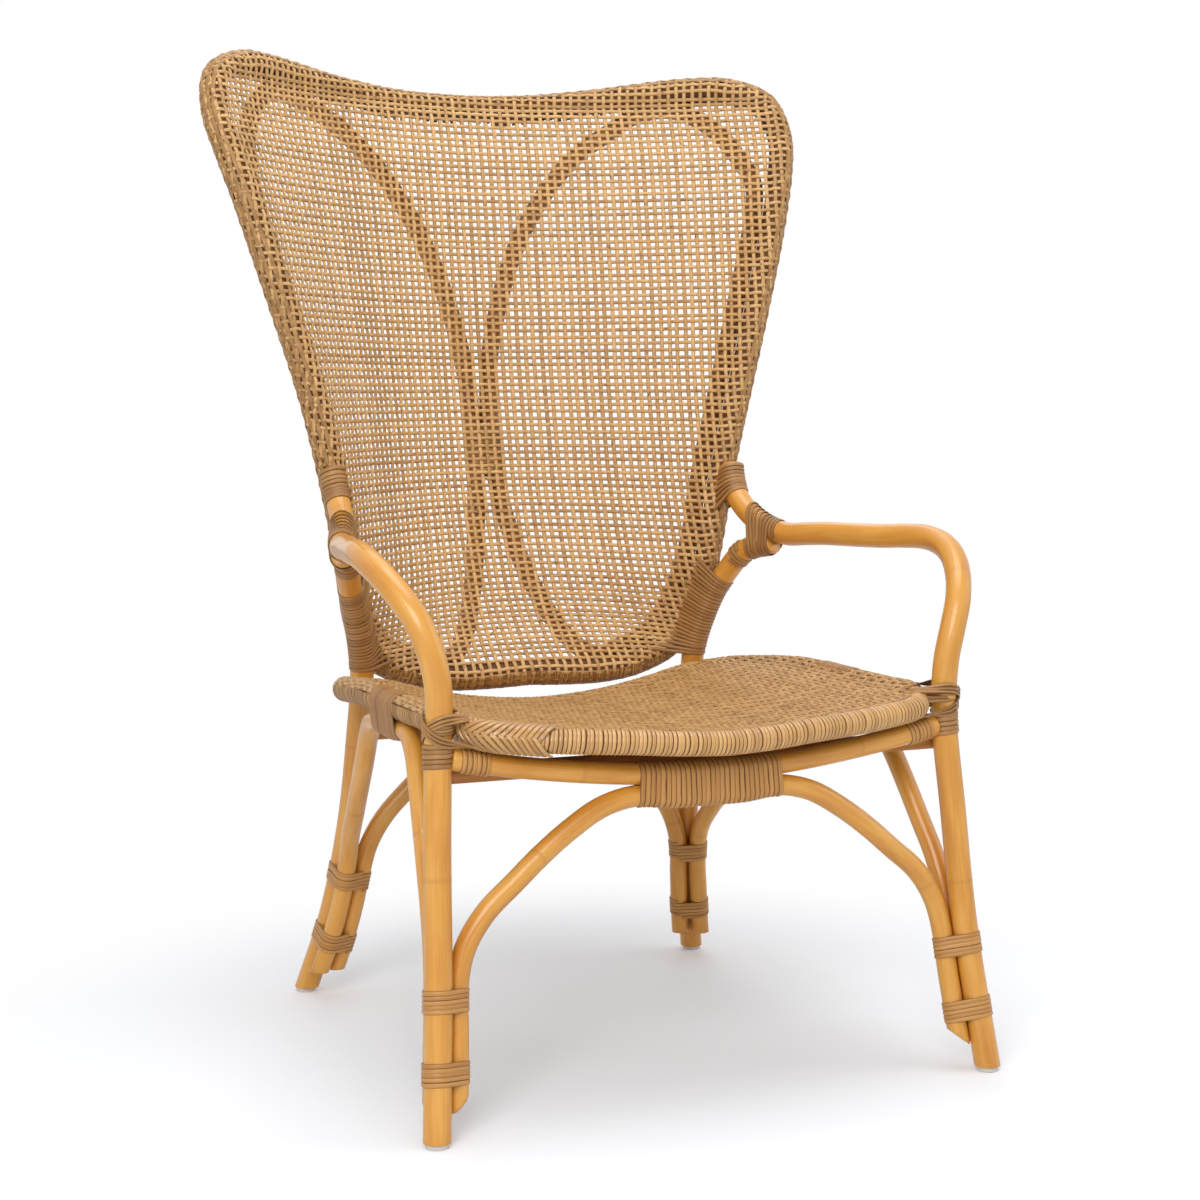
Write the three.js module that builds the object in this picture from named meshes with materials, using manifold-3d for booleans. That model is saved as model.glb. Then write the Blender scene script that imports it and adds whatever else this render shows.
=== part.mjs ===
import * as THREE from 'three';
import { mergeVertices } from 'three/addons/utils/BufferGeometryUtils.js';
import Module from 'manifold-3d';

// High-backed peacock chair of bent rattan poles, bound with cane strands.
// Sizes are in millimetres. Z = 0 is the floor, X = 0 the plane of symmetry, and the sitter faces -Y.
// Y = 0 lies halfway between the front feet and the top of the back.

const wasm = await Module();
wasm.setup();

// Poles
const poleDiameter = 27;
const archDiameter = 21.5;
const railDiameter = 22;
const bearerDiameter = 19;
const ovalDiameter = 22;
const rimDiameter = 21;
const rimBinding = 2.6;

// Clearances between pieces that touch, and between two bent poles that lie side by side
const fitGap = 0.3;
const bendGap = 0.9;

// Height of the seat's sides over the floor, and how far its front and rear lie below them
const seatHeight = 388;
const seatFrontDrop = 23;
const seatRearDrop = 52;

// How far other centre lines lie over or under the seat or the arms
const armOverSeat = 158;
const armRiseOverArm = 46;
const armEndOverArm = 90;
const rearPoleMeetUnderArm = 98;
const railUnderSeat = 26;
const railSag = 31;
const bearerUnderSeat = 47;
const rearRailUnderSeat = 69;
const backUnderSeat = 13;
const backLength = 704;

const armHeight = seatHeight + armOverSeat;
const armRiseHeight = armHeight + armRiseOverArm;
const armEndHeight = armHeight + armEndOverArm;
const rearPoleMeetHeight = armHeight - rearPoleMeetUnderArm;
const railEndHeight = seatHeight - railUnderSeat;
const bearerHeight = seatHeight - bearerUnderSeat;
const rearRailHeight = seatHeight - rearRailUnderSeat;
const backBottomHeight = seatHeight - backUnderSeat;
const backTopHeight = backBottomHeight + backLength;

// Half widths of centre lines
const armHalfSpan = 325;
const rearFootHalfSpan = 256;
const backHalfWidth = 355;
const seatHalfWidth = 263;

// Places of centre lines along Y
const footFrontY = -379;
const armBackY = 105;
const railMiddleY = -333;
const bearerY = -303;
const footRearY = 224;
const rearPoleTopY = 15;
const backFrontY = 122;
const backTopY = 378;
const seatFrontY = -377;
const seatRearY = 114;
const sideApexY = -134;

// How far the lower arm pole is let into the arm, and the arm's end into the hoop
const armScarfDrop = 9.5;
const armEndScarfShare = 0.6;

// Extra distance at the top of the back, where each oval crosses the hoop at a slant
const ovalTopEase = 4.4;

// Arches: where their ends stop, are bound and bend away from the leg, and how long their bound tops are
const archEndHeight = 30;
const lowerLashingHeight = 66;
const upperLashingHeight = 132;
const archReleaseHeight = 160;
const frontApexLength = 156;
const sideApexLength = 90;
const rearApexLength = 96;

// Directions, in degrees from straight inward, in which each arch lies against its leg
const frontArchBearing = 22;
const sideArchFrontBearing = 79;
const rearArchBearing = 37;
const sideArchRearBearing = 92;

// Glides under the feet
const glideDiameter = 22;
const glideHeight = 4;

// Cane strands and the bindings made of them
const strandWidth = 4;
const strandThickness = 1.4;
const strandSpace = 0.8;
const jointStrandSpace = 0.9;
const apexStrandSpace = 1;
const jointEase = 1.8;
const sleeveEase = 1.8;
const sleeveThickness = 2;
const legLashingTurns = 5;
const jointLashingTurns = 9;
const apexTurns = 24;
const railLashingLength = 25;
const seatTieLength = 10;
const armEndLashingLength = 32;
const backWrapLength = 50;
const ovalTieLength = 62;

// Woven panels
const backWeaveThickness = 3;
const backWeaveEase = 6.8;
const backGridColumns = 9;
const backGridRows = 8;
const backBarWidth = 22;
const backFoldedColumns = 2;
const seatWeaveThickness = 5;
const seatDish = 10;
const seatGrooves = 3;
const seatGrooveWidth = 9;
const seatGrooveDepth = 2;

// Finishes
const honeyPole = { color: 0xd9a253, roughness: 0.42 };
const shadedPole = { color: 0xc98f4a, roughness: 0.48 };
const bindingCane = { color: 0x9c7a54, roughness: 0.6 };
const wovenCane = { color: 0xc09a6a, roughness: 0.75 };
const rimCane = { color: 0xc6a272, roughness: 0.5 };
const glidePlastic = { color: 0xd8d6cf, roughness: 0.6 };

// Counts that set how finely bent poles are modelled
const poleSides = 8;
const thinPoleSides = 7;
const sleeveSides = 14;
const finePerTurn = 72;
const strandTolerance = 1.3;

const up = new THREE.Vector3(0, 0, 1);
const forward = new THREE.Vector3(0, -1, 0);
const chair = new THREE.Group();
chair.name = 'peacock_chair';

// Small helpers for points and curves

function at(x, y, z) {
  return new THREE.Vector3(x, y, z);
}

function mirror(point) {
  return at(-point.x, point.y, point.z);
}

function smoothCurve(points, closed = false) {
  const curve = new THREE.CatmullRomCurve3(points, closed, 'centripetal');
  curve.arcLengthDivisions = 600;
  return curve;
}

// The curve of the left side that matches one of the right side
function onLeft(curve) {
  return smoothCurve(curve.points.map(mirror), curve.closed);
}

// Mirrors a run of points that ends on the plane of symmetry, or near it
function acrossMiddle(points) {
  const mirrored = points.filter((point) => Math.abs(point.x) > fitGap).reverse().map(mirror);
  return [...points, ...mirrored];
}

// Points from rows of shares: outward of a half width, backward between two places,
// and upward between two heights
function placeByShares(shares, halfWidth, frontY, backY, bottom, top) {
  return shares.map(([outward, backward, upward]) => at(
    outward * halfWidth,
    frontY + backward * (backY - frontY),
    bottom + upward * (top - bottom)
  ));
}

// Share of a curve's length at which one coordinate first reaches a value
function shareWhere(curve, axis, value, from = 0, to = 1) {
  const samples = 300;
  let before = curve.getPointAt(from)[axis] - value;
  let nearest = from;
  let least = Math.abs(before);
  for (let index = 1; index <= samples; index += 1) {
    const share = from + (to - from) * index / samples;
    const after = curve.getPointAt(share)[axis] - value;
    if (before * after <= 0 && before !== after) {
      return share - (to - from) / samples * after / (after - before);
    }
    if (Math.abs(after) < least) {
      least = Math.abs(after);
      nearest = share;
    }
    before = after;
  }
  return nearest;
}

function pointAtHeight(curve, height, from = 0, to = 1) {
  return curve.getPointAt(shareWhere(curve, 'z', height, from, to));
}

// A stretch of a longer curve
class Stretch extends THREE.Curve {
  constructor(source, from, to) {
    super();
    this.source = source;
    this.from = from;
    this.to = to;
    this.arcLengthDivisions = 400;
  }

  getPoint(share, target = new THREE.Vector3()) {
    return target.copy(this.source.getPointAt(this.from + share * (this.to - this.from)));
  }
}

// Solids

function addPiece(name, geometry, finish) {
  const mesh = new THREE.Mesh(geometry, new THREE.MeshStandardMaterial({ ...finish, metalness: 0 }));
  mesh.name = name;
  chair.add(mesh);
}

// A pole along a curve. An inner fit keeps its corners on the diameter, an outer fit its flats
function pole(curve, diameter, steps, sides, outerFit = false) {
  const radius = diameter / 2 / (outerFit ? Math.cos(Math.PI / sides) : 1);
  const shape = new THREE.Shape();
  for (let side = 0; side < sides; side += 1) {
    const angle = 2 * Math.PI * side / sides;
    if (side === 0) {
      shape.moveTo(radius, 0);
    } else {
      shape.lineTo(radius * Math.cos(angle), radius * Math.sin(angle));
    }
  }
  shape.closePath();
  return new THREE.ExtrudeGeometry(shape, { steps, bevelEnabled: false, extrudePath: curve });
}

function toSolid(geometry) {
  const bare = geometry.clone();
  bare.deleteAttribute('normal');
  bare.deleteAttribute('uv');
  const merged = mergeVertices(bare);
  return new wasm.Manifold(new wasm.Mesh({
    numProp: 3,
    vertProperties: new Float32Array(merged.attributes.position.array),
    triVerts: new Uint32Array(merged.index.array)
  }));
}

function toGeometry(solid) {
  const mesh = solid.getMesh();
  const geometry = new THREE.BufferGeometry();
  geometry.setAttribute('position', new THREE.BufferAttribute(new Float32Array(mesh.vertProperties), 3));
  geometry.setIndex(new THREE.BufferAttribute(new Uint32Array(mesh.triVerts), 1));
  geometry.computeVertexNormals();
  return geometry;
}

function cutAway(geometry, cutters) {
  let solid = toSolid(geometry);
  for (const cutter of cutters) {
    solid = solid.subtract(toSolid(cutter));
  }
  return toGeometry(solid);
}

// A piece of the right side, and its mirror image on the left
function addPair(name, geometry, finish) {
  addPiece(`${name}_right`, geometry, finish);
  addPiece(`${name}_left`, toGeometry(toSolid(geometry).mirror([1, 0, 0])), finish);
}

// The space that a piece butting against a pole leaves free round it
function roomRound(curve, diameter, gap) {
  const sides = 16;
  const steps = 60;
  return pole(curve, diameter + 2 * gap, steps, sides, true);
}

function meshFrom(points, triangles) {
  const geometry = new THREE.BufferGeometry();
  const places = points.flatMap((point) => point.toArray());
  geometry.setAttribute('position', new THREE.Float32BufferAttribute(places, 3));
  geometry.setIndex(triangles);
  geometry.computeVertexNormals();
  return geometry;
}

// Bindings. Members are the poles that a binding goes round,
// and the guide is the curve that it travels along

function member(curve, diameter) {
  const samples = 240;
  return { radius: diameter / 2, places: curve.getSpacedPoints(samples) };
}

// Where each member crosses the plane square to the guide, as ellipses in that plane.
// Crossings farther from the guide than the reach belong to another run of a bent member
const crossingReach = 2 * poleDiameter;
const leastSlant = 1 / 2;
function crossing({ guide, members, middle }, share) {
  const origin = guide.getPointAt(share);
  const along = guide.getTangentAt(share);
  const reference = Math.abs(guide.getTangentAt(middle).z) > Math.SQRT1_2 ? forward : up;
  const across = reference.clone().addScaledVector(along, -reference.dot(along)).normalize();
  const beside = along.clone().cross(across);
  const ellipses = [];
  for (const { radius, places } of members) {
    let best = null;
    for (let index = 1; index < places.length; index += 1) {
      const before = places[index - 1].clone().sub(origin).dot(along);
      const after = places[index].clone().sub(origin).dot(along);
      if (before * after > 0 || before === after) {
        continue;
      }
      const hit = places[index - 1].clone().lerp(places[index], before / (before - after)).sub(origin);
      if (!best || hit.length() < best.hit.length()) {
        best = { hit, run: places[index].clone().sub(places[index - 1]).normalize() };
      }
    }
    if (best && best.hit.length() < crossingReach) {
      const slant = Math.max(Math.abs(best.run.dot(along)), leastSlant);
      const angle = Math.atan2(best.run.dot(beside), best.run.dot(across));
      ellipses.push({
        centre: [best.hit.dot(across), best.hit.dot(beside)],
        radius,
        longRadius: radius / slant,
        lean: [Math.cos(angle), Math.sin(angle)]
      });
    }
  }
  const middleAcross = ellipses.reduce((sum, { centre }) => sum + centre[0], 0) / ellipses.length;
  const middleBeside = ellipses.reduce((sum, { centre }) => sum + centre[1], 0) / ellipses.length;
  const alone = Math.hypot(middleAcross, middleBeside) < fitGap;
  const startAngle = alone ? 0 : Math.atan2(-middleBeside, -middleAcross);
  return { origin, along, across, beside, ellipses, startAngle };
}

// The point of the taut loop round the ellipses, and its outward normal, that faces a part of a turn.
// Turns start on the guide's side, away from the other members
function onLoop(section, turn, standOff) {
  const angle = section.startAngle + 2 * Math.PI * turn;
  const [x, y] = [Math.cos(angle), Math.sin(angle)];
  let reach = -Infinity;
  let place = null;
  for (const { centre, radius, longRadius, lean } of section.ellipses) {
    const along = x * lean[0] + y * lean[1];
    const across = y * lean[0] - x * lean[1];
    const support = Math.hypot(longRadius * along, radius * across);
    const distance = x * centre[0] + y * centre[1] + support;
    if (distance > reach) {
      const [far, near] = [longRadius ** 2 * along / support, radius ** 2 * across / support];
      reach = distance;
      place = [
        centre[0] + far * lean[0] - near * lean[1] + standOff * x,
        centre[1] + far * lean[1] + near * lean[0] + standOff * y
      ];
    }
  }
  const outward = section.across.clone().multiplyScalar(x).addScaledVector(section.beside, y);
  const point = section.origin.clone()
    .addScaledVector(section.across, place[0])
    .addScaledVector(section.beside, place[1]);
  return { point, outward, along: section.along };
}

// Drops the points of a path that lie within a tolerance of the line through those that stay
function thinned(path, tolerance) {
  const first = path[0];
  const last = path[path.length - 1];
  const chord = new THREE.Line3(first.point, last.point);
  const foot = at(0, 0, 0);
  let farthest = 0;
  let split = 0;
  for (let index = 1; index < path.length - 1; index += 1) {
    const distance = chord.closestPointToPoint(path[index].point, true, foot).distanceTo(path[index].point);
    if (distance > farthest) {
      farthest = distance;
      split = index;
    }
  }
  if (farthest <= tolerance) {
    return [first, last];
  }
  const before = thinned(path.slice(0, split + 1), tolerance);
  return [...before, ...thinned(path.slice(split), tolerance).slice(1)];
}

// One flat strand wound round the members, as one unbroken helical ribbon with straight ends
function winding(binding, turns, width, space) {
  const { guide, middle, ease = 0 } = binding;
  const length = guide.getLength();
  const pitch = width + space;
  const start = middle - pitch * turns / 2 / length;
  const standOff = strandThickness / 2 + strandTolerance + ease;
  const fine = [];
  for (let turnIndex = 0; turnIndex < turns; turnIndex += 1) {
    for (let step = 0; step < finePerTurn; step += 1) {
      const turn = turnIndex + step / finePerTurn;
      fine.push({ ...onLoop(crossing(binding, start + pitch * turn / length), turn, standOff), turn });
    }
  }
  const stretches = [fine[0]];
  for (let from = 0; from < fine.length; from += finePerTurn) {
    stretches.push(...thinned(fine.slice(from, from + finePerTurn + 1), strandTolerance).slice(1));
  }
  const first = stretches[0];
  const last = stretches[stretches.length - 1];
  const leadIn = first.point.clone().sub(stretches[1].point).setLength(width / 2);
  const leadOut = last.point.clone().sub(stretches[stretches.length - 2].point).setLength(width / 2);
  const route = [
    { ...first, point: first.point.clone().add(leadIn) },
    ...stretches,
    { ...last, point: last.point.clone().add(leadOut) }
  ];
  const corners = [];
  for (const { point, outward, along } of route) {
    for (const [thick, wide] of [[-1, -1], [1, -1], [1, 1], [-1, 1]]) {
      corners.push(point.clone()
        .addScaledVector(outward, thick * strandThickness / 2)
        .addScaledVector(along, wide * width / 2));
    }
  }
  const triangles = [];
  for (let ring = 0; ring < route.length - 1; ring += 1) {
    for (let corner = 0; corner < 4; corner += 1) {
      const a = 4 * ring + corner;
      const b = 4 * ring + (corner + 1) % 4;
      triangles.push(a, a + 4, b, b, a + 4, b + 4);
    }
  }
  const end = 4 * (route.length - 1);
  triangles.push(0, 1, 2, 0, 2, 3, end, end + 2, end + 1, end, end + 3, end + 2);
  return {
    ribbon: facingOut(meshFrom(corners, triangles)),
    gap: turnGap(corners, route.map(({ turn }) => turn))
  };
}

// The least distance from the corners of a wound strand to the edges of its other turns
function turnGap(corners, turns) {
  const edge = new THREE.Line3();
  const foot = at(0, 0, 0);
  let least = Infinity;
  for (let ring = 0; ring < turns.length; ring += 1) {
    for (let other = 0; other < turns.length - 1; other += 1) {
      if (Math.abs(turns[other] - turns[ring]) < 1 / 2 || Math.abs(turns[other + 1] - turns[ring]) < 1 / 2) {
        continue;
      }
      for (let corner = 0; corner < 4; corner += 1) {
        for (let facing = 0; facing < 4; facing += 1) {
          edge.set(corners[4 * other + facing], corners[4 * other + 4 + facing]);
          const point = corners[4 * ring + corner];
          least = Math.min(least, edge.closestPointToPoint(point, true, foot).distanceTo(point));
        }
      }
    }
  }
  return least;
}

// Evenly spaced points of the taut loop in the plane square to the guide
function evenLoop(section, standOff) {
  const outline = [];
  for (let index = 0; index <= finePerTurn; index += 1) {
    outline.push(onLoop(section, index / finePerTurn, standOff).point);
  }
  const path = new THREE.CurvePath();
  for (let index = 1; index < outline.length; index += 1) {
    path.add(new THREE.LineCurve3(outline[index - 1], outline[index]));
  }
  return Array.from({ length: sleeveSides }, (unused, index) => path.getPoint(index / sleeveSides));
}

// A closed sleeve round the members, for bindings whose strands are left to the finish
function sleeve(binding, thickness, gap = fitGap) {
  const { guide, members, middle, length, rings, ease = 0 } = binding;
  const total = guide.getLength();
  const spread = Math.PI * 2 * members.reduce((sum, { radius }) => sum + radius, 0) / sleeveSides;
  const flatness = spread ** 2 / (8 * members[0].radius);
  const points = [];
  const inside = gap + ease + flatness;
  for (const standOff of [inside, inside + thickness]) {
    for (let ring = 0; ring <= rings; ring += 1) {
      const section = crossing(binding, middle + length * (ring / rings - 1 / 2) / total);
      points.push(...evenLoop(section, standOff));
    }
  }
  const skin = sleeveSides * (rings + 1);
  const triangles = [];
  const addQuad = (a, b, c, d) => triangles.push(a, b, c, a, c, d);
  for (let index = 0; index < sleeveSides; index += 1) {
    const next = (index + 1) % sleeveSides;
    for (let ring = 0; ring < rings; ring += 1) {
      const near = ring * sleeveSides;
      const far = near + sleeveSides;
      addQuad(near + index, near + next, far + next, far + index);
      addQuad(skin + near + index, skin + far + index, skin + far + next, skin + near + next);
    }
    const end = rings * sleeveSides;
    addQuad(index, skin + index, skin + next, next);
    addQuad(end + index, end + next, skin + end + next, skin + end + index);
  }
  return facingOut(meshFrom(points, triangles));
}

// The space that a panel leaves free round a sleeve
function roomRoundSleeve(binding, thickness) {
  const longer = { ...binding, length: binding.length + 2 * bendGap };
  return sleeve(longer, thickness + 2 * bendGap, 0);
}

// Turns a closed mesh inside out when its volume comes out negative
function facingOut(geometry) {
  const place = geometry.attributes.position;
  const index = geometry.index.array;
  const [a, b, c] = [at(0, 0, 0), at(0, 0, 0), at(0, 0, 0)];
  let volume = 0;
  for (let face = 0; face < index.length; face += 3) {
    a.fromBufferAttribute(place, index[face]);
    b.fromBufferAttribute(place, index[face + 1]);
    c.fromBufferAttribute(place, index[face + 2]);
    volume += a.dot(b.cross(c));
  }
  if (volume < 0) {
    for (let face = 0; face < index.length; face += 3) {
      [index[face + 1], index[face + 2]] = [index[face + 2], index[face + 1]];
    }
  }
  geometry.computeVertexNormals();
  return geometry;
}

// The back hoop: one long pole bent to a winged shield, its ends butted at the bottom

const hoopShares = [
  [0, 0.082, 0.003],
  [0.25, 0.082, 0],
  [0.423, 0.109, 0.013],
  [0.527, 0.113, 0.037],
  [0.575, 0.1, 0.071],
  [0.6, 0.066, 0.114],
  [0.634, 0.004, 0.188],
  [0.673, 0.008, 0.297],
  [0.746, 0.012, 0.457],
  [0.851, 0.066, 0.638],
  [0.946, 0.148, 0.803],
  [1, 0.262, 0.913],
  [0.972, 0.367, 0.976],
  [0.87, 0.484, 1],
  [0.713, 0.656, 1],
  [0.504, 0.828, 0.987],
  [0.259, 0.953, 0.974],
  [0, 1, 0.97]
];
const hoopHalf = placeByShares(
  hoopShares, backHalfWidth, backFrontY, backTopY, backBottomHeight, backTopHeight
);
const hoop = smoothCurve([...hoopHalf, ...hoopHalf.slice(1, -1).reverse().map(mirror)], true);
const hoopSteps = 52;
const hoopEndShare = fitGap / hoop.getLength();
const hoopPole = new Stretch(hoop, hoopEndShare, 1 - hoopEndShare);

function hoopAt(height) {
  return pointAtHeight(hoop, height, 0, 1 / 2);
}

// Depth of the pole surface of the back at its middle, by share of its height
const backMiddleShares = [
  [0, 0.08],
  [0.035, 0.19],
  [0.11, 0.375],
  [0.29, 0.594],
  [0.39, 0.664],
  [0.51, 0.738],
  [0.625, 0.785],
  [0.73, 0.836],
  [0.88, 0.92],
  [0.97, 1]
];
const backMiddle = smoothCurve(backMiddleShares.map(([upward, backward]) => at(
  0,
  backFrontY + backward * (backTopY - backFrontY),
  backBottomHeight + upward * (backTopHeight - backBottomHeight)
)));
const backHeights = 90;
const hoopTable = [];
for (let index = 0; index <= backHeights; index += 1) {
  const height = backBottomHeight + (backTopHeight - backBottomHeight) * index / backHeights;
  hoopTable.push({ side: hoopAt(height), middle: pointAtHeight(backMiddle, height) });
}

// The curved surface that the hoop and the ovals follow, barrelled forward to both sides
function backDepth(x, z) {
  const share = (z - backBottomHeight) / (backTopHeight - backBottomHeight) * backHeights;
  const lower = Math.min(Math.max(Math.floor(share), 0), backHeights - 1);
  const blend = Math.min(Math.max(share - lower, 0), 1);
  const side = hoopTable[lower].side.clone().lerp(hoopTable[lower + 1].side, blend);
  const middle = hoopTable[lower].middle.y * (1 - blend) + hoopTable[lower + 1].middle.y * blend;
  const ratio = Math.min(Math.abs(x) / Math.abs(side.x), 1);
  return middle - (middle - side.y) * ratio ** 2;
}

// A point on that surface, moved along its front normal
function onBack(x, z, frontOffset) {
  const probe = poleDiameter / 4;
  const slopeX = (backDepth(x + probe, z) - backDepth(x - probe, z)) / (2 * probe);
  const slopeZ = (backDepth(x, z + probe) - backDepth(x, z - probe)) / (2 * probe);
  const normal = at(slopeX, -1, slopeZ).normalize();
  return at(x, backDepth(x, z), z).addScaledVector(normal, frontOffset);
}

// Front poles: each is a front leg, an arm and its rise to the hoop in one bent pole

const frontPoleShares = [
  [0.945, -0.004, -0.02],
  [0.902, 0.062, 0.282],
  [0.885, 0.095, 0.493],
  [0.868, 0.12, 0.69],
  [0.871, 0.113, 0.793],
  [0.922, 0.126, 0.896],
  [0.983, 0.208, 0.97],
  [1, 0.318, 1.003],
  [0.94, 0.502, 1],
  [0.877, 0.676, 0.997],
  [0.824, 0.826, 0.993],
  [0.775, 0.918, 1.032]
];
const sideBySide = poleDiameter + fitGap;
const armLean = at(0.29, -0.957, 0);
const armRise = hoopAt(armRiseHeight).addScaledVector(armLean, sideBySide + bendGap);
const armEnd = hoopAt(armEndHeight).addScaledVector(armLean, armEndScarfShare * sideBySide);
const frontPole = smoothCurve([
  ...placeByShares(frontPoleShares, armHalfSpan, footFrontY, armBackY, 0, armHeight),
  armRise,
  armEnd
]);
const frontPoleSteps = 32;

// Rear poles: each is a rear leg that rises beside the hoop and bends forward under the arm

const rearPoleShares = [
  [1.01, -0.014, -0.022],
  [0.918, 0.163, 0.159],
  [0.855, 0.302, 0.374],
  [0.836, 0.402, 0.551],
  [0.822, 0.449, 0.711]
];
const rearPoleTopShares = [
  [0.926, 0.641, 0.903],
  [0.969, 0.766, 0.951]
];
const hoopLean = at(0.31, -0.951, 0);
const armJointShare = shareWhere(frontPole, 'y', rearPoleTopY, 1 / 2, 1);
const armJoint = frontPole.getPointAt(armJointShare);
const rearPole = smoothCurve([
  ...placeByShares(rearPoleShares, rearFootHalfSpan, footRearY, rearPoleTopY, 0, armHeight),
  hoopAt(rearPoleMeetHeight).addScaledVector(hoopLean, sideBySide + bendGap),
  ...placeByShares(rearPoleTopShares, rearFootHalfSpan, footRearY, rearPoleTopY, 0, armHeight),
  armJoint.clone().addScaledVector(up, -armScarfDrop)
]);
const rearPoleSteps = 20;

// A block as deep as the poles' lower ends, which leaves their feet flat above the glides
function floorBlock() {
  const span = 2 * (armHalfSpan + backHalfWidth + footRearY);
  const depth = 2 * poleDiameter;
  const block = new THREE.BoxGeometry(span, span, depth);
  block.translate(0, 0, glideHeight + fitGap - depth / 2);
  return block;
}

const hoopRoom = roomRound(hoopPole, poleDiameter, fitGap);
addPair(
  'front_pole',
  cutAway(pole(frontPole, poleDiameter, frontPoleSteps, poleSides), [floorBlock(), hoopRoom]),
  honeyPole
);
addPair(
  'rear_pole',
  cutAway(
    pole(rearPole, poleDiameter, rearPoleSteps, poleSides),
    [floorBlock(), roomRound(frontPole, poleDiameter, fitGap), hoopRoom]
  ),
  honeyPole
);
addPiece('back_hoop', pole(hoopPole, poleDiameter, hoopSteps, poleSides), shadedPole);

// Ovals: two closed bows behind the weave, side by side at the middle

const ovalInnerShares = [
  [0.135, 0.104],
  [0.051, 0.263],
  [0, 0.39],
  [0.045, 0.511],
  [0.096, 0.625],
  [0.175, 0.73],
  [0.279, 0.817],
  [0.394, 0.885],
  [0.535, 0.936]
];
const ovalEarShares = [
  [0.803, 0.949],
  [0.873, 0.892],
  [0.901, 0.824]
];
// Rows: share of the hoop's length, then the direction in which the oval lies against the hoop
const ovalTopShares = [[0.4, 0, 0.81, -0.58]];
const ovalSideShares = [
  [0.27, -0.48, 0.88, 0],
  [0.24, -0.48, 0.88, 0],
  [0.21, -0.48, 0.88, 0],
  [0.18, -0.48, 0.88, 0],
  [0.15, -0.48, 0.88, 0],
  [0.125, -0.48, 0.88, 0.05],
  [0.105, -0.5, 0.84, 0.2],
  [0.085, -0.48, 0.74, 0.47],
  [0.067, -0.36, 0.78, 0.52],
  [0.05, -0.2, 0.82, 0.54],
  [0.034, 0, 0.85, 0.53]
];
const ovalTopTouch = (poleDiameter + ovalDiameter) / 2 + ovalTopEase;
const ovalClear = sleeveThickness + sleeveEase + 2 * fitGap + 2 * bendGap;
const ovalTouch = (poleDiameter + ovalDiameter) / 2 + ovalClear;
const ovalFront = (poleDiameter - ovalDiameter) / 2 - sleeveThickness - 2 * fitGap;

function besideHoop(rows, distance) {
  return rows.map(([share, outward, backward, upward]) => {
    const direction = at(outward, backward, upward).normalize();
    return hoop.getPointAt(share).addScaledVector(direction, distance);
  });
}

function alongBack(rows) {
  return rows.map(([outward, upward]) => {
    const x = Math.max(outward * backHalfWidth, ovalDiameter / 2 + fitGap);
    const z = backBottomHeight + upward * (backTopHeight - backBottomHeight);
    return onBack(x, z, ovalFront);
  });
}

const ovalPoints = [
  ...alongBack(ovalInnerShares),
  ...besideHoop(ovalTopShares, ovalTopTouch),
  ...alongBack(ovalEarShares),
  ...besideHoop(ovalSideShares, ovalTouch)
];
// Nothing of an oval may cross the plane of symmetry, so its inner run is set back to it
for (const point of ovalPoints) {
  point.x = Math.max(point.x, ovalDiameter / 2 + fitGap);
}
const oval = smoothCurve(ovalPoints, true);
const ovalSteps = 38;
const ovalEndShare = fitGap / oval.getLength();
const ovalPole = new Stretch(oval, ovalEndShare, 1 - ovalEndShare);
addPair('back_oval', pole(ovalPole, ovalDiameter, ovalSteps, thinPoleSides), shadedPole);

// Woven panels: plates over a lattice of lines, cut to the outline of what they fill

// A closed plate between two faces over two sets of lines, made of the cells that a test keeps.
// Each bent cell is folded along the diagonal that stands further out
function latticePlate(linesAcross, linesAlong, front, rear, outwards, kept) {
  const points = [];
  const numbers = new Map();
  const corner = (face, column, row) => {
    const key = `${face === front} ${column} ${row}`;
    if (!numbers.has(key)) {
      numbers.set(key, points.length);
      points.push(face(linesAcross[column], linesAlong[row]));
    }
    return numbers.get(key);
  };
  const triangles = [];
  const reach = (a, b) => points[a].dot(outwards) + points[b].dot(outwards);
  const addQuad = (a, b, c, d) => {
    if (reach(a, c) > reach(b, d)) {
      triangles.push(a, b, c, a, c, d);
    } else {
      triangles.push(b, c, d, b, d, a);
    }
  };
  const isCell = (column, row) => (
    column >= 0
    && row >= 0
    && column < linesAcross.length - 1
    && row < linesAlong.length - 1
    && kept(column, row)
  );
  // Each side of a cell: the neighbour there, and the two corners of that side
  const sides = [[0, -1, 0, 0, 1, 0], [1, 0, 1, 0, 1, 1], [0, 1, 1, 1, 0, 1], [-1, 0, 0, 1, 0, 0]];
  for (let column = 0; column < linesAcross.length - 1; column += 1) {
    for (let row = 0; row < linesAlong.length - 1; row += 1) {
      if (!isCell(column, row)) {
        continue;
      }
      const ring = [[0, 0], [1, 0], [1, 1], [0, 1]];
      addQuad(...ring.map(([across, along]) => corner(front, column + across, row + along)));
      addQuad(...ring.reverse().map(([across, along]) => corner(rear, column + across, row + along)));
      for (const [nextColumn, nextRow, acrossA, alongA, acrossB, alongB] of sides) {
        if (!isCell(column + nextColumn, row + nextRow)) {
          addQuad(
            corner(front, column + acrossB, row + alongB),
            corner(front, column + acrossA, row + alongA),
            corner(rear, column + acrossA, row + alongA),
            corner(rear, column + acrossB, row + alongB)
          );
        }
      }
    }
  }
  return facingOut(meshFrom(points, triangles));
}

// Whether a place lies inside a ring of flat points
function isInside(outline, x, y) {
  let inside = false;
  outline.forEach(([ax, ay], index) => {
    const [bx, by] = outline[(index + 1) % outline.length];
    if ((ay > y) !== (by > y) && x < ax + (y - ay) / (by - ay) * (bx - ax)) {
      inside = !inside;
    }
  });
  return inside;
}

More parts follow.
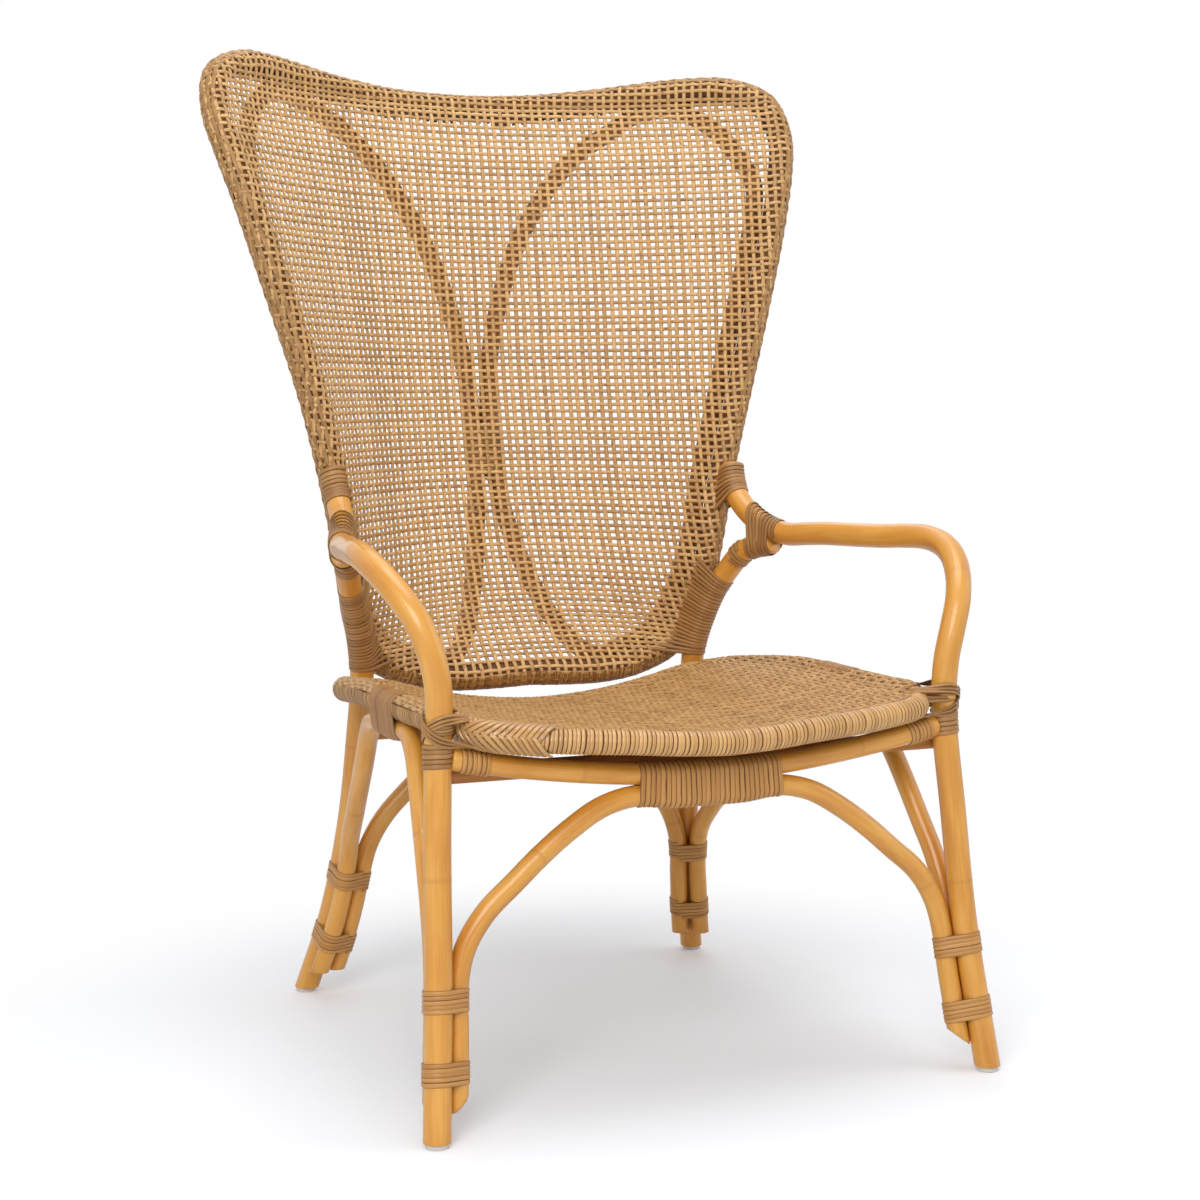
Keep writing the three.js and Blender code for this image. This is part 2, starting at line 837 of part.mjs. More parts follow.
// A straight prism on a flat outline, as deep as a cutter needs to be
function prism(outline, depth) {
  const shape = new THREE.Shape(outline.map(([x, y]) => new THREE.Vector2(x, y)));
  return new THREE.ExtrudeGeometry(shape, { depth, bevelEnabled: false });
}

// Back weave: a thin panel in front of the hoop and the ovals, opened by a plain grid.
// The fine mesh between the bars is left to the finish

const weaveEdgeCount = 48;
const weaveFront = poleDiameter / 2 + fitGap + backWeaveEase;
const weaveOutline = Array.from({ length: weaveEdgeCount }, (unused, index) => {
  const place = hoop.getPointAt(index / weaveEdgeCount);
  const { x, z } = onBack(place.x, place.z, weaveFront);
  return [x, z];
});

const gridPitchX = 2 * backHalfWidth / backGridColumns;
const gridPitchZ = backLength / backGridRows;

// Lines at both sides of each bar. The openings nearest both ends are folded along their middle
function barLines(start, pitch, count, folds) {
  const lines = [];
  for (let index = 0; index <= count; index += 1) {
    const middle = start + pitch * index;
    lines.push(middle - backBarWidth / 2, middle + backBarWidth / 2);
    if (index < folds || (index < count && index >= count - folds)) {
      lines.push(middle + pitch / 2);
    }
  }
  return lines;
}

const gridAcross = barLines(-backHalfWidth, gridPitchX, backGridColumns, backFoldedColumns);
const gridUpward = barLines(backBottomHeight, gridPitchZ, backGridRows, 0);

// Whether a place lies in an opening that keeps a bar's width of panel inside the outline
function isOpening(x, z) {
  const column = Math.floor((x + backHalfWidth) / gridPitchX);
  const row = Math.floor((z - backBottomHeight) / gridPitchZ);
  const middleX = (column + 1 / 2) * gridPitchX - backHalfWidth;
  const middleZ = (row + 1 / 2) * gridPitchZ + backBottomHeight;
  const isBetween = (
    Math.abs(x - middleX) < (gridPitchX - backBarWidth) / 2
    && Math.abs(z - middleZ) < (gridPitchZ - backBarWidth) / 2
  );
  return isBetween && [-1, 1].every((across) => [-1, 1].every((upward) => isInside(
    weaveOutline,
    middleX + across * (gridPitchX + backBarWidth) / 2,
    middleZ + upward * (gridPitchZ + backBarWidth) / 2
  )));
}

function isWoven(column, row) {
  const [left, right] = gridAcross.slice(column, column + 2);
  const [bottom, top] = gridUpward.slice(row, row + 2);
  const reachesIn = [left - backBarWidth, right + backBarWidth].some((x) => (
    [bottom - backBarWidth, top + backBarWidth].some((z) => isInside(weaveOutline, x, z))
  ));
  return reachesIn && !isOpening((left + right) / 2, (bottom + top) / 2);
}

// The bindings that pass over the edge of the weave: round hoop and arm end, and round rear pole and hoop
const hoopRun = new Stretch(hoop, 0, 1 / 2);
const armEndBinding = {
  guide: hoopRun,
  members: [member(hoopRun, poleDiameter), member(frontPole, poleDiameter)],
  middle: shareWhere(hoopRun, 'z', armEndHeight - armEndLashingLength / 2 - strandWidth),
  length: armEndLashingLength,
  rings: 2,
  ease: sleeveEase
};
const backBinding = {
  guide: rearPole,
  members: [member(rearPole, poleDiameter), member(hoopRun, poleDiameter)],
  middle: shareWhere(rearPole, 'z', rearPoleMeetHeight + strandWidth),
  length: backWrapLength,
  rings: 2,
  ease: sleeveEase
};
const weavePlate = latticePlate(
  gridAcross,
  gridUpward,
  (x, z) => onBack(x, z, weaveFront + backWeaveThickness),
  (x, z) => onBack(x, z, weaveFront),
  at(0, -1, 0),
  isWoven
);
const weaveBounds = prism(weaveOutline, 2 * (backTopY - backFrontY));
weaveBounds.rotateX(Math.PI / 2);
weaveBounds.translate(0, backTopY + (backTopY - backFrontY) / 2, 0);
const weavePanel = toGeometry(toSolid(weavePlate).intersect(toSolid(weaveBounds)));
const rightNotches = [armEndBinding, backBinding].map((binding) => (
  roomRoundSleeve(binding, sleeveThickness)
));
const leftNotches = rightNotches.map((notch) => toGeometry(toSolid(notch).mirror([1, 0, 0])));
addPiece('back_weave', cutAway(weavePanel, [...rightNotches, ...leftNotches]), wovenCane);

// Seat hoop: bound rim that passes inside the front poles and in front of the rear poles

const rimOuter = rimDiameter + 2 * rimBinding;
const rimTouch = (rimOuter + poleDiameter) / 2 + strandThickness + 2 * fitGap + bendGap;
const rimFrontShares = [
  [0.385, 0.015, 0.26],
  [0.73, 0.053, 0.48]
];
const rimSideShares = [
  [0.995, 0.27],
  [1, 0.46],
  [0.995, 0.68]
];
const rimRearDropShare = 0.82;
// Directions in which the rim lies from the poles that it passes, in lengths of their spacing
const frontCornerLean = at(-0.94, 0.34, 0);
const frontTurnLean = at(-1.35, -0.42, 0);
const rearCornerLean = at(-0.12, -0.99, 0);
const rearTurnLean = at(0.93, -1.28, 0.12);
const seatSpan = seatRearY - seatFrontY;
const frontCorner = pointAtHeight(frontPole, seatHeight);
const rearCorner = pointAtHeight(rearPole, seatHeight - seatRearDrop / 3);
const rimFrontCorner = frontCorner.clone().addScaledVector(frontCornerLean, rimTouch);
const rimFrontTurn = frontCorner.clone().addScaledVector(frontTurnLean, rimTouch);
const rimRearCorner = rearCorner.clone().addScaledVector(rearCornerLean, rimTouch);
const rimRearTurn = rearCorner.clone().addScaledVector(rearTurnLean, rimTouch);
const rimHalf = [
  at(0, seatFrontY, seatHeight - seatFrontDrop),
  ...rimFrontShares.map(([outward, backward, upward]) => at(
    outward * seatHalfWidth,
    seatFrontY + backward * seatSpan,
    seatHeight - seatFrontDrop * (1 - upward)
  )),
  rimFrontTurn.setZ(seatHeight - seatFrontDrop / 4),
  rimFrontCorner,
  ...rimSideShares.map(([outward, backward]) => at(
    outward * seatHalfWidth,
    seatFrontY + backward * seatSpan,
    seatHeight
  )),
  rimRearTurn,
  rimRearCorner,
  at(rimRearCorner.x / 2, seatRearY, seatHeight - seatRearDrop * rimRearDropShare),
  at(0, seatRearY, seatHeight - seatRearDrop)
];
const rim = smoothCurve([...rimHalf, ...rimHalf.slice(1, -1).reverse().map(mirror)], true);
const rimSteps = 38;
const rimEndShare = fitGap / rim.getLength();
const rimPole = new Stretch(rim, rimEndShare, 1 - rimEndShare);
addPiece('seat_hoop', pole(rimPole, rimOuter, rimSteps, thinPoleSides), rimCane);

// Seat weave: a closely woven deck, dished between the sides of the rim.
// Shallow grooves part it into the broad bands of its weave

const deckEdgeCount = 32;
const deckInset = rimOuter / 2 + sleeveThickness + sleeveEase + 2 * fitGap + bendGap;
const seatMiddleY = (seatFrontY + seatRearY) / 2;
const deckEdge = [];
for (let index = 0; index < deckEdgeCount; index += 1) {
  const place = rim.getPointAt(index / deckEdgeCount);
  const direction = rim.getTangentAt(index / deckEdgeCount);
  const inward = at(-direction.y, direction.x, 0).normalize();
  if (inward.dot(at(-place.x, seatMiddleY - place.y, 0)) < 0) {
    inward.negate();
  }
  deckEdge.push(place.clone().addScaledVector(inward, deckInset));
}
const deckMiddle = at(0, seatMiddleY, seatHeight - (seatFrontDrop + seatRearDrop) / 2 - seatDish);

// The top of the deck, which rises from the middle to the edge with the square of the distance
function deckTop(x, y) {
  const [awayX, awayY] = [x - deckMiddle.x, y - deckMiddle.y];
  for (let index = 0; index < deckEdge.length; index += 1) {
    const a = deckEdge[index].clone().sub(deckMiddle);
    const b = deckEdge[(index + 1) % deckEdge.length].clone().sub(deckMiddle);
    const turn = a.x * b.y - a.y * b.x;
    const towardsA = (awayX * b.y - awayY * b.x) / turn;
    const towardsB = (a.x * awayY - a.y * awayX) / turn;
    if (towardsA >= 0 && towardsB >= 0 && towardsA + towardsB > 0) {
      const share = towardsA + towardsB;
      const rise = (towardsA * a.z + towardsB * b.z) / share;
      return deckMiddle.z + rise * share ** 2 + rimDiameter / 4;
    }
  }
  return deckMiddle.z + rimDiameter / 4;
}

// Three lines for each groove: its two edges and its bottom, which is every third line
function grooveLines(from, to) {
  const lines = [from];
  for (let index = 1; index <= seatGrooves; index += 1) {
    const bottom = from + (to - from) * index / (seatGrooves + 1);
    lines.push(bottom - seatGrooveWidth / 2, bottom, bottom + seatGrooveWidth / 2);
  }
  return [...lines, to];
}

const deckAcross = grooveLines(-seatHalfWidth, seatHalfWidth);
const deckAlong = grooveLines(seatFrontY, seatRearY);
const bottomsAcross = deckAcross.filter((line, index) => index % 3 === 2);
const bottomsAlong = deckAlong.filter((line, index) => index % 3 === 2);
const deckPlate = latticePlate(
  deckAcross,
  deckAlong,
  (x, y) => {
    const isLow = bottomsAcross.includes(x) || bottomsAlong.includes(y);
    return at(x, y, deckTop(x, y) - (isLow ? seatGrooveDepth : 0));
  },
  (x, y) => at(x, y, deckTop(x, y) - seatWeaveThickness),
  at(0, 0, 1),
  () => true
);
const deckBounds = prism(deckEdge.map(({ x, y }) => [x, y]), 2 * seatHeight);
addPiece('seat_weave', toGeometry(toSolid(deckPlate).intersect(toSolid(deckBounds))), wovenCane);

// Rails and bearer between the poles

const railClear = strandThickness + 2 * fitGap + bendGap;
const bearerClear = strandThickness + 2 * fitGap;
const railRunShares = [0.42, 0.8];
const railFrontEnd = pointAtHeight(frontPole, railEndHeight);
const railMiddle = at(0, railMiddleY, railEndHeight - railSag);
const railHalf = [
  railFrontEnd,
  ...[...railRunShares].reverse().map((share) => at(
    share * railFrontEnd.x,
    railMiddleY + share ** 2 * (railFrontEnd.y - railMiddleY),
    railMiddle.z + share ** 2 * railSag
  )),
  at(frontApexLength / 4, railMiddleY, railMiddle.z),
  railMiddle
];
const frontRail = smoothCurve(acrossMiddle(railHalf));
const rearRailEnd = pointAtHeight(rearPole, rearRailHeight);
const rearRail = smoothCurve([rearRailEnd, rearRailEnd.clone().setX(0), mirror(rearRailEnd)]);
const bearerEnd = pointAtHeight(frontPole, bearerHeight).setY(bearerY);
const bearer = smoothCurve([bearerEnd, bearerEnd.clone().setX(0), mirror(bearerEnd)]);
const frontPair = [frontPole, onLeft(frontPole)];
const rearPair = [rearPole, onLeft(rearPole)];

function railBetween(curve, diameter, steps, pair, gap) {
  return cutAway(
    pole(curve, diameter, steps, thinPoleSides),
    pair.map((standing) => roomRound(standing, poleDiameter, gap))
  );
}

const bentRailSteps = 16;
const straightRailSteps = 2;
addPiece('front_rail', railBetween(frontRail, railDiameter, bentRailSteps, frontPair, railClear), honeyPole);
addPiece(
  'seat_bearer',
  railBetween(bearer, bearerDiameter, straightRailSteps, frontPair, bearerClear),
  shadedPole
);
addPiece('rear_rail', railBetween(rearRail, railDiameter, straightRailSteps, rearPair, fitGap), shadedPole);

// Arches: each end runs down the inside of a leg, and the top is bound under a rail or the rim

const archSpacing = (poleDiameter + archDiameter) / 2 + fitGap + bendGap / 2;

// A point beside a leg, square to it, at a bearing turned from straight inward to straight back or forward
function besideLeg(leg, height, bearing, towardsY) {
  const share = shareWhere(leg, 'z', height);
  const along = leg.getTangentAt(share);
  const angle = THREE.MathUtils.degToRad(bearing);
  const wish = at(-Math.cos(angle), towardsY * Math.sin(angle), 0);
  const direction = wish.addScaledVector(along, -wish.dot(along)).normalize();
  return leg.getPointAt(share).addScaledVector(direction, archSpacing);
}

const archHeights = [
  archEndHeight,
  (archEndHeight + lowerLashingHeight) / 2,
  lowerLashingHeight,
  (lowerLashingHeight + upperLashingHeight) / 2,
  upperLashingHeight,
  archReleaseHeight
];

function archFoot(leg, bearing, towardsY) {
  return archHeights.map((height) => besideLeg(leg, height, bearing, towardsY));
}

// Rows of shares: inward or along the run, and upward, from the release point to the bound top
function archRun(release, top, shares, along) {
  return shares.map(([across, upward]) => {
    const point = release.clone().lerp(top, across);
    point.z = release.z + upward * (top.z - release.z);
    point[along] = release[along] + across * (top[along] - release[along]);
    return point;
  });
}

// The flat top of an arch runs this far past its binding
const apexLead = archDiameter / 2;
const underPole = (archDiameter + railDiameter) / 2 + fitGap + bendGap;
const underRim = (archDiameter + rimOuter) / 2 + fitGap + bendGap;
const frontArchShares = [[0.12, 0.29], [0.35, 0.54], [0.59, 0.77], [0.84, 0.945]];
const rearArchShares = [[0.1, 0.3], [0.3, 0.56], [0.55, 0.8], [0.82, 0.955]];
const sideArchFrontShares = [[0.1, 0.22], [0.36, 0.5], [0.64, 0.775], [0.86, 0.95]];
const sideArchRearShares = [[0.07, 0.15], [0.31, 0.4], [0.6, 0.69], [0.84, 0.935]];

function railTop(curve, halfLength) {
  return curve.getPointAt(shareWhere(curve, 'x', halfLength, 0, 1 / 2)).addScaledVector(up, -underPole);
}

const frontArchFoot = archFoot(frontPole, frontArchBearing, 1);
const frontArchTop = [
  railTop(frontRail, frontApexLength / 2 + apexLead),
  railTop(frontRail, frontApexLength / 4),
  railTop(frontRail, 0)
];
const frontArch = smoothCurve(acrossMiddle([
  ...frontArchFoot,
  ...archRun(frontArchFoot[frontArchFoot.length - 1], frontArchTop[0], frontArchShares, 'x'),
  ...frontArchTop
]));

const rearArchFoot = archFoot(rearPole, rearArchBearing, -1);
const rearArchTop = [
  railTop(rearRail, rearApexLength / 2 + apexLead),
  railTop(rearRail, rearApexLength / 4),
  railTop(rearRail, 0)
];
const rearArch = smoothCurve(acrossMiddle([
  ...rearArchFoot,
  ...archRun(rearArchFoot[rearArchFoot.length - 1], rearArchTop[0], rearArchShares, 'x'),
  ...rearArchTop
]));

const rimSideShare = shareWhere(rim, 'y', sideApexY, 0, 1 / 2);
const sideTopShares = [-1 / 2, 0, 1 / 2];
const sideTop = sideTopShares.map((share) => rim
  .getPointAt(rimSideShare + share * (sideApexLength + 2 * apexLead) / rim.getLength())
  .addScaledVector(up, -underRim));
const sideFrontFoot = archFoot(frontPole, sideArchFrontBearing, 1);
const sideRearFoot = archFoot(rearPole, sideArchRearBearing, -1);
const sideFrontRelease = sideFrontFoot[sideFrontFoot.length - 1];
const sideRearRelease = sideRearFoot[sideRearFoot.length - 1];
const sideArch = smoothCurve([
  ...sideFrontFoot,
  ...archRun(sideFrontRelease, sideTop[0], sideArchFrontShares, 'y'),
  ...sideTop,
  ...archRun(sideRearRelease, sideTop[2], sideArchRearShares, 'y').reverse(),
  ...[...sideRearFoot].reverse()
]);
const archSteps = 24;

addPiece('front_arch', pole(frontArch, archDiameter, archSteps, thinPoleSides), honeyPole);
addPiece('rear_arch', pole(rearArch, archDiameter, archSteps, thinPoleSides), honeyPole);
addPair('side_arch', pole(sideArch, archDiameter, archSteps, thinPoleSides), honeyPole);

// Glides: a flat disc under each foot

const glideSides = 16;
for (const [endName, leg] of [['front', frontPole], ['rear', rearPole]]) {
  const foot = pointAtHeight(leg, glideHeight);
  const disc = new THREE.CylinderGeometry(glideDiameter / 2, glideDiameter / 2, glideHeight, glideSides);
  disc.rotateX(Math.PI / 2);
  disc.translate(foot.x, foot.y, glideHeight / 2);
  addPair(`glide_${endName}`, disc, glidePlastic);
}

// Lashings that bind the arch ends to the legs

let leastTurnGap = Infinity;
function wound(binding, turns, width, space) {
  const { ribbon, gap } = winding(binding, turns, width, space);
  leastTurnGap = Math.min(leastTurnGap, gap);
  return ribbon;
}

function addSleeves(name, binding, thickness) {
  addPair(name, sleeve(binding, thickness), bindingCane);
}

const lashingHeights = [['lower', lowerLashingHeight], ['upper', upperLashingHeight]];
for (const [endName, leg, arch] of [['front', frontPole, frontArch], ['rear', rearPole, rearArch]]) {
  const members = [
    member(leg, poleDiameter),
    member(arch, archDiameter),
    member(sideArch, archDiameter)
  ];
  for (const [levelName, height] of lashingHeights) {
    const binding = { guide: leg, members, middle: shareWhere(leg, 'z', height) };
    const ribbon = wound(binding, legLashingTurns, strandWidth, strandSpace);
    addPair(`leg_lashing_${endName}_${levelName}`, ribbon, bindingCane);
  }
}

// Bindings at the tops of the arches

const frontApexBinding = {
  guide: frontRail,
  members: [member(frontRail, railDiameter), member(frontArch, archDiameter)],
  middle: 1 / 2
};
const apexStrandWidth = frontApexLength / apexTurns - apexStrandSpace;
addPiece(
  'front_arch_binding',
  wound(frontApexBinding, apexTurns, apexStrandWidth, apexStrandSpace),
  bindingCane
);
const rearApexBinding = {
  guide: rearRail,
  members: [member(rearRail, railDiameter), member(rearArch, archDiameter)],
  middle: 1 / 2,
  length: rearApexLength,
  rings: 2,
  ease: bendGap
};
addPiece('rear_arch_binding', sleeve(rearApexBinding, sleeveThickness), bindingCane);

// Bindings of the arms, the back, the seat and the ends of the front rail

// The line through the middle of the arm joint: it starts in the arm, and ends between arm and branch
const jointLength = jointLashingTurns * (strandWidth + jointStrandSpace);
const jointStartY = rearPoleTopY + strandWidth;
const jointStart = frontPole.getPointAt(shareWhere(frontPole, 'y', jointStartY, 1 / 2, 1));
const jointArm = frontPole.getPointAt(shareWhere(frontPole, 'y', jointStartY + jointLength, 1 / 2, 1));
const jointBranch = rearPole.getPointAt(shareWhere(rearPole, 'y', jointStartY + jointLength, 1 / 2, 1));
const jointEnd = jointArm.clone().lerp(jointBranch, 1 / 2);
const armJointBinding = {
  guide: smoothCurve([jointStart, jointStart.clone().lerp(jointEnd, 1 / 2), jointEnd]),
  members: [member(frontPole, poleDiameter), member(rearPole, poleDiameter)],
  middle: 1 / 2,
  ease: jointEase
};
addPair(
  'arm_joint_lashing',
  wound(armJointBinding, jointLashingTurns, strandWidth, jointStrandSpace),
  bindingCane
);
addSleeves('arm_end_lashing', armEndBinding, sleeveThickness);
addSleeves('back_lashing', backBinding, sleeveThickness);

const rimRun = new Stretch(rim, 0, 1 / 2);
addSleeves(
  'side_arch_binding',
  {
    guide: rimRun,
    members: [member(rimRun, rimOuter), member(sideArch, archDiameter)],
    middle: shareWhere(rimRun, 'y', sideApexY),
    length: sideApexLength,
    rings: 3,
    ease: sleeveEase
  },
  sleeveThickness
);

const frontMember = member(frontPole, poleDiameter);
addSleeves(
  'seat_tie',
  {
    guide: frontPole,
    members: [frontMember],
    middle: shareWhere(frontPole, 'z', seatHeight + seatTieLength),
    length: seatTieLength,
    rings: 1
  },
  strandThickness
);
addSleeves(
  'rail_lashing',
  {
    guide: frontPole,
    members: [frontMember],
    middle: shareWhere(frontPole, 'z', railEndHeight),
    length: railLashingLength,
    rings: 1
  },
  strandThickness
);
const railEndPlace = poleDiameter / 2 + railClear + railLashingLength / 2 + strandWidth;
addSleeves(
  'rail_end_binding',
  {
    guide: frontRail,
    members: [member(frontRail, railDiameter)],
    middle: railEndPlace / frontRail.getLength(),
    length: railLashingLength,
    rings: 1
  },
  sleeveThickness
);

// Tie that holds the two ovals together at the middle of the back

const ovalRun = new Stretch(oval, 0, 1 / 3);
const ovalTieBinding = {
  guide: ovalRun,
  members: [member(ovalRun, ovalDiameter), member(new Stretch(onLeft(oval), 0, 1 / 3), ovalDiameter)],
  middle: shareWhere(ovalRun, 'z', ovalPoints[2].z - ovalTieLength / 4),
  length: ovalTieLength,
  rings: 2
};
addPiece('oval_tie', sleeve(ovalTieBinding, sleeveThickness), bindingCane);

console.log(`least gap between turns ${leastTurnGap.toFixed(2)} mm`);

export default chair;
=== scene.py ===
import math
import random

import bmesh
import bpy
import numpy as np
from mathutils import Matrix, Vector


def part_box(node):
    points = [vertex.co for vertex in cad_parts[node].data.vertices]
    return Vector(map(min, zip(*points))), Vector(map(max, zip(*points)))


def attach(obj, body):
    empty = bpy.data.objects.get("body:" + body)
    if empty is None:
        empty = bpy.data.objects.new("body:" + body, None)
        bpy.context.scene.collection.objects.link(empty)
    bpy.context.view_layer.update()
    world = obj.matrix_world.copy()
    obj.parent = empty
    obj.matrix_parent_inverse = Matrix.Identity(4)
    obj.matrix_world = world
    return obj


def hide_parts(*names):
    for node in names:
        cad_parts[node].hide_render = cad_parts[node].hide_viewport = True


# Peacock chair of bent rattan poles and woven cane, in metres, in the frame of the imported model
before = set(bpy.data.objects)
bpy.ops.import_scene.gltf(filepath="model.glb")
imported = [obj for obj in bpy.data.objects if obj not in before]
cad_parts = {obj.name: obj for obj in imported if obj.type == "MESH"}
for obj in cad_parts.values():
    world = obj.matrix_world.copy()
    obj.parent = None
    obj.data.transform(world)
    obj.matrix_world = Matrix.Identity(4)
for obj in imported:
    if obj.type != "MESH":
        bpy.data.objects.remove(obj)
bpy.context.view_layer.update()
bpy.ops.object.select_all(action="DESELECT")
random.seed(7)
noise = np.random.default_rng(7)
print("frame loaded")


def unit(vectors):
    return vectors / np.maximum(np.linalg.norm(vectors, axis=-1, keepdims=True), 1e-12)


def closedLoop(values):
    return np.vstack([values, values[:1]])


# A share that leaves 0 and reaches 1 softly
def eased(share):
    share = np.clip(share, 0, 1)
    return share * share * (3 - 2 * share)


# The length that a path has run at each of its points
def pathRun(path):
    return np.concatenate([[0], np.cumsum(np.linalg.norm(np.diff(path, axis=0), axis=1))])


def pointOn(path, run, length):   # one place for one length, or one row for each of several
    return np.stack([np.interp(length, run, values) for values in path.T], axis=-1)


# Length along a path where it first passes a value of one coordinate
def lengthWhere(path, axis, value, fromLength=0.0):
    run = pathRun(path)
    side = path[:, axis] - value
    for index in range(1, len(path)):
        if run[index] > fromLength and side[index - 1] * side[index] <= 0:
            share = side[index - 1] / (side[index - 1] - side[index] + 1e-15)
            return run[index - 1] + share * (run[index] - run[index - 1])
    return run[int(np.argmin(np.abs(side)))]


def between(t, low, high, p, q):   # on the straight way from p at low to q at high
    return (high - t) / (high - low) * p + (t - low) / (high - low) * q


# An evenly stepped smooth path through points, by centripetal curves from point to point
def smoothPath(points, step, closed=False):
    points = np.asarray(points, dtype=float)
    if closed:
        around = np.vstack([points[-1], points, points[:2]])
    else:   # one more point beyond each end
        around = np.vstack([2 * points[0] - points[1], points, 2 * points[-1] - points[-2]])
    fine = []
    for index in range(1, len(around) - 2):
        a, b, c, d = around[index - 1:index + 3]
        knots = np.cumsum([0] + [np.linalg.norm(q - p) ** 0.5 for p, q in ((a, b), (b, c), (c, d))])
        t = np.linspace(knots[1], knots[2], 24, endpoint=False)[:, None]
        ab, bc, cd = (between(t, *knots[i:i + 2], *pair) for i, pair in enumerate(((a, b), (b, c), (c, d))))
        abc, bcd = between(t, knots[0], knots[2], ab, bc), between(t, knots[1], knots[3], bc, cd)
        fine.append(between(t, knots[1], knots[2], abc, bcd))
    fine = np.vstack(fine + [points[:1] if closed else around[-2][None]])
    run = pathRun(fine)
    count = max(int(round(run[-1] / step)), 2)
    return pointOn(fine, run, np.linspace(0, run[-1], count + 1))


def placesOf(mesh):
    places = np.empty(len(mesh.vertices) * 3)
    mesh.vertices.foreach_get("co", places)
    return places.reshape(-1, 3)


def setAttribute(mesh, name, values):   # a number or a vector for each vertex
    kind, key = ("FLOAT", "value") if values.ndim == 1 else ("FLOAT_VECTOR", "vector")
    mesh.attributes.new(name, kind, "POINT").data.foreach_set(key, values.reshape(-1))


# The middles of a swept node's corner rings, in order from the end that is lowest on one axis
def ringMiddles(node, radius, sides, startAxis):
    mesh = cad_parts[node].data
    places = placesOf(mesh)
    _, first, same = np.unique(np.round(places * 1e5).astype(int), axis=0, return_index=True, return_inverse=True)
    corners = places[first]
    edges = np.empty(len(mesh.edges) * 2, dtype=np.int32)
    mesh.edges.foreach_get("vertices", edges)
    edges = np.unique(np.sort(same.reshape(-1)[edges.reshape(-1, 2)], axis=1), axis=0)
    lengths = np.linalg.norm(corners[edges[:, 0]] - corners[edges[:, 1]], axis=1)
    side = 2 * radius * math.sin(math.pi / sides)
    short = edges[(lengths < 1.06 * side) & (lengths > 0.5 * side)]   # the sides of the rings
    group = np.arange(len(corners))
    while True:
        before = group.copy()
        least = np.minimum(group[short[:, 0]], group[short[:, 1]])
        np.minimum.at(group, short[:, 0], least)
        np.minimum.at(group, short[:, 1], least)
        if (before == group).all():
            break
    labels, counts = np.unique(group, return_counts=True)
    loose = [corners[group == label].mean(axis=0) for label in labels[counts == sides]]
    here = min(range(len(loose)), key=lambda index: loose[index][startAxis])
    path = [loose.pop(here)]
    while loose:
        here = min(range(len(loose)), key=lambda index: np.linalg.norm(loose[index] - path[-1]))
        path.append(loose.pop(here))
    return np.array(path), corners


# Adds the ends, which lie past the last whole rings
def withEnds(path, corners):
    ends = []
    for last, before in ((path[0], path[1]), (path[-1], path[-2])):
        run = unit(last - before)
        near = corners[np.linalg.norm(corners - last, axis=1) < 0.075]
        ends.append(last + run * max(((near - last) @ run).max(), 0.001))
    return np.vstack([ends[0], path, ends[1]])


# Nodes by the corner radius and sides of their rings, and the axis along which they start lowest
bentPoles = {
    (0.0135, 8, 2): ("front_pole_right", "front_pole_left", "rear_pole_right", "rear_pole_left"),
    (0.01075, 7, 2): ("front_arch", "rear_arch", "side_arch_right", "side_arch_left"),
    (0.011, 7, 0): ("front_rail",),
}
hoops = {"back_hoop": (0.0135, 8, 2), "back_oval_right": (0.011, 7, 2), "back_oval_left": (0.011, 7, 2),
         "seat_hoop": (0.0131, 7, 1)}
# Middle lines of the right poles' upper ends, whose rings are cut where two poles meet
cutEnds = {
    "front_pole": ((0.2487, 0.0894, 0.5822), (0.2488, 0.0975, 0.5945), (0.2495, 0.1040, 0.6070),
                   (0.2508, 0.1085, 0.6190)),
    "rear_pole": ((0.2518, 0.0554, 0.5230), (0.2568, 0.0437, 0.5262), (0.2623, 0.0313, 0.5285),
                  (0.2650, 0.0250, 0.5305)),
}
toMirror = np.array([-1, 1, 1])
pathStep = 0.004
paths = {}
for rings, nodes in bentPoles.items():
    for node in nodes:
        path = withEnds(*ringMiddles(node, *rings))
        kind, _, side = node.rpartition("_")
        if kind in cutEnds:
            ends = np.array(cutEnds[kind]) * (toMirror if side == "left" else 1)
            apart = np.linalg.norm(path[:-1, None] - ends[None], axis=2).min(axis=1)
            path = np.vstack([path[:-1][apart > 0.012], ends])
        paths[node] = smoothPath(path, pathStep)
for node, rings in hoops.items():
    middles, _ = ringMiddles(node, *rings)
    if np.linalg.norm(middles[0] - middles[-1]) < 0.005:
        middles = middles[:-1]
    paths[node] = smoothPath(middles, pathStep, closed=True)
for node in ("seat_bearer", "rear_rail"):   # straight along X
    low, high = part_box(node)
    y, z = ((low[axis] + high[axis]) / 2 for axis in (1, 2))
    paths[node] = smoothPath([(low[0], y, z), (0, y, z), (high[0], y, z)], pathStep)


# A closed path that starts at the middle of its low side and runs to the chair's right, without its last point
def rolledHoop(path, heightOf):
    loop = path[:-1]
    start = int(np.argmin(np.abs(loop[:, 0]) + 10 * np.maximum(heightOf(loop), 0)))
    loop = np.roll(loop, -start, axis=0)
    if loop[10, 0] < 0:
        loop = np.roll(loop[::-1], 1, axis=0)
    return loop


hoopLoop = rolledHoop(paths["back_hoop"], lambda loop: loop[:, 2] - 0.5)
paths["hoop_right"] = hoopLoop[:len(hoopLoop) // 2 + 1]
paths["hoop_left"] = paths["hoop_right"] * toMirror
ovalLoop = paths["back_oval_right"]
meeting = ovalLoop[(ovalLoop[:, 0] < 0.06) & (abs(ovalLoop[:, 2] - 0.64) < 0.1)]   # where the ovals touch
paths["oval_middle"] = smoothPath(meeting[np.argsort(meeting[:, 2], kind="stable")], pathStep)
print("paths found:", ", ".join(f"{node} {pathRun(path)[-1]:.2f} m" for node, path in paths.items()))


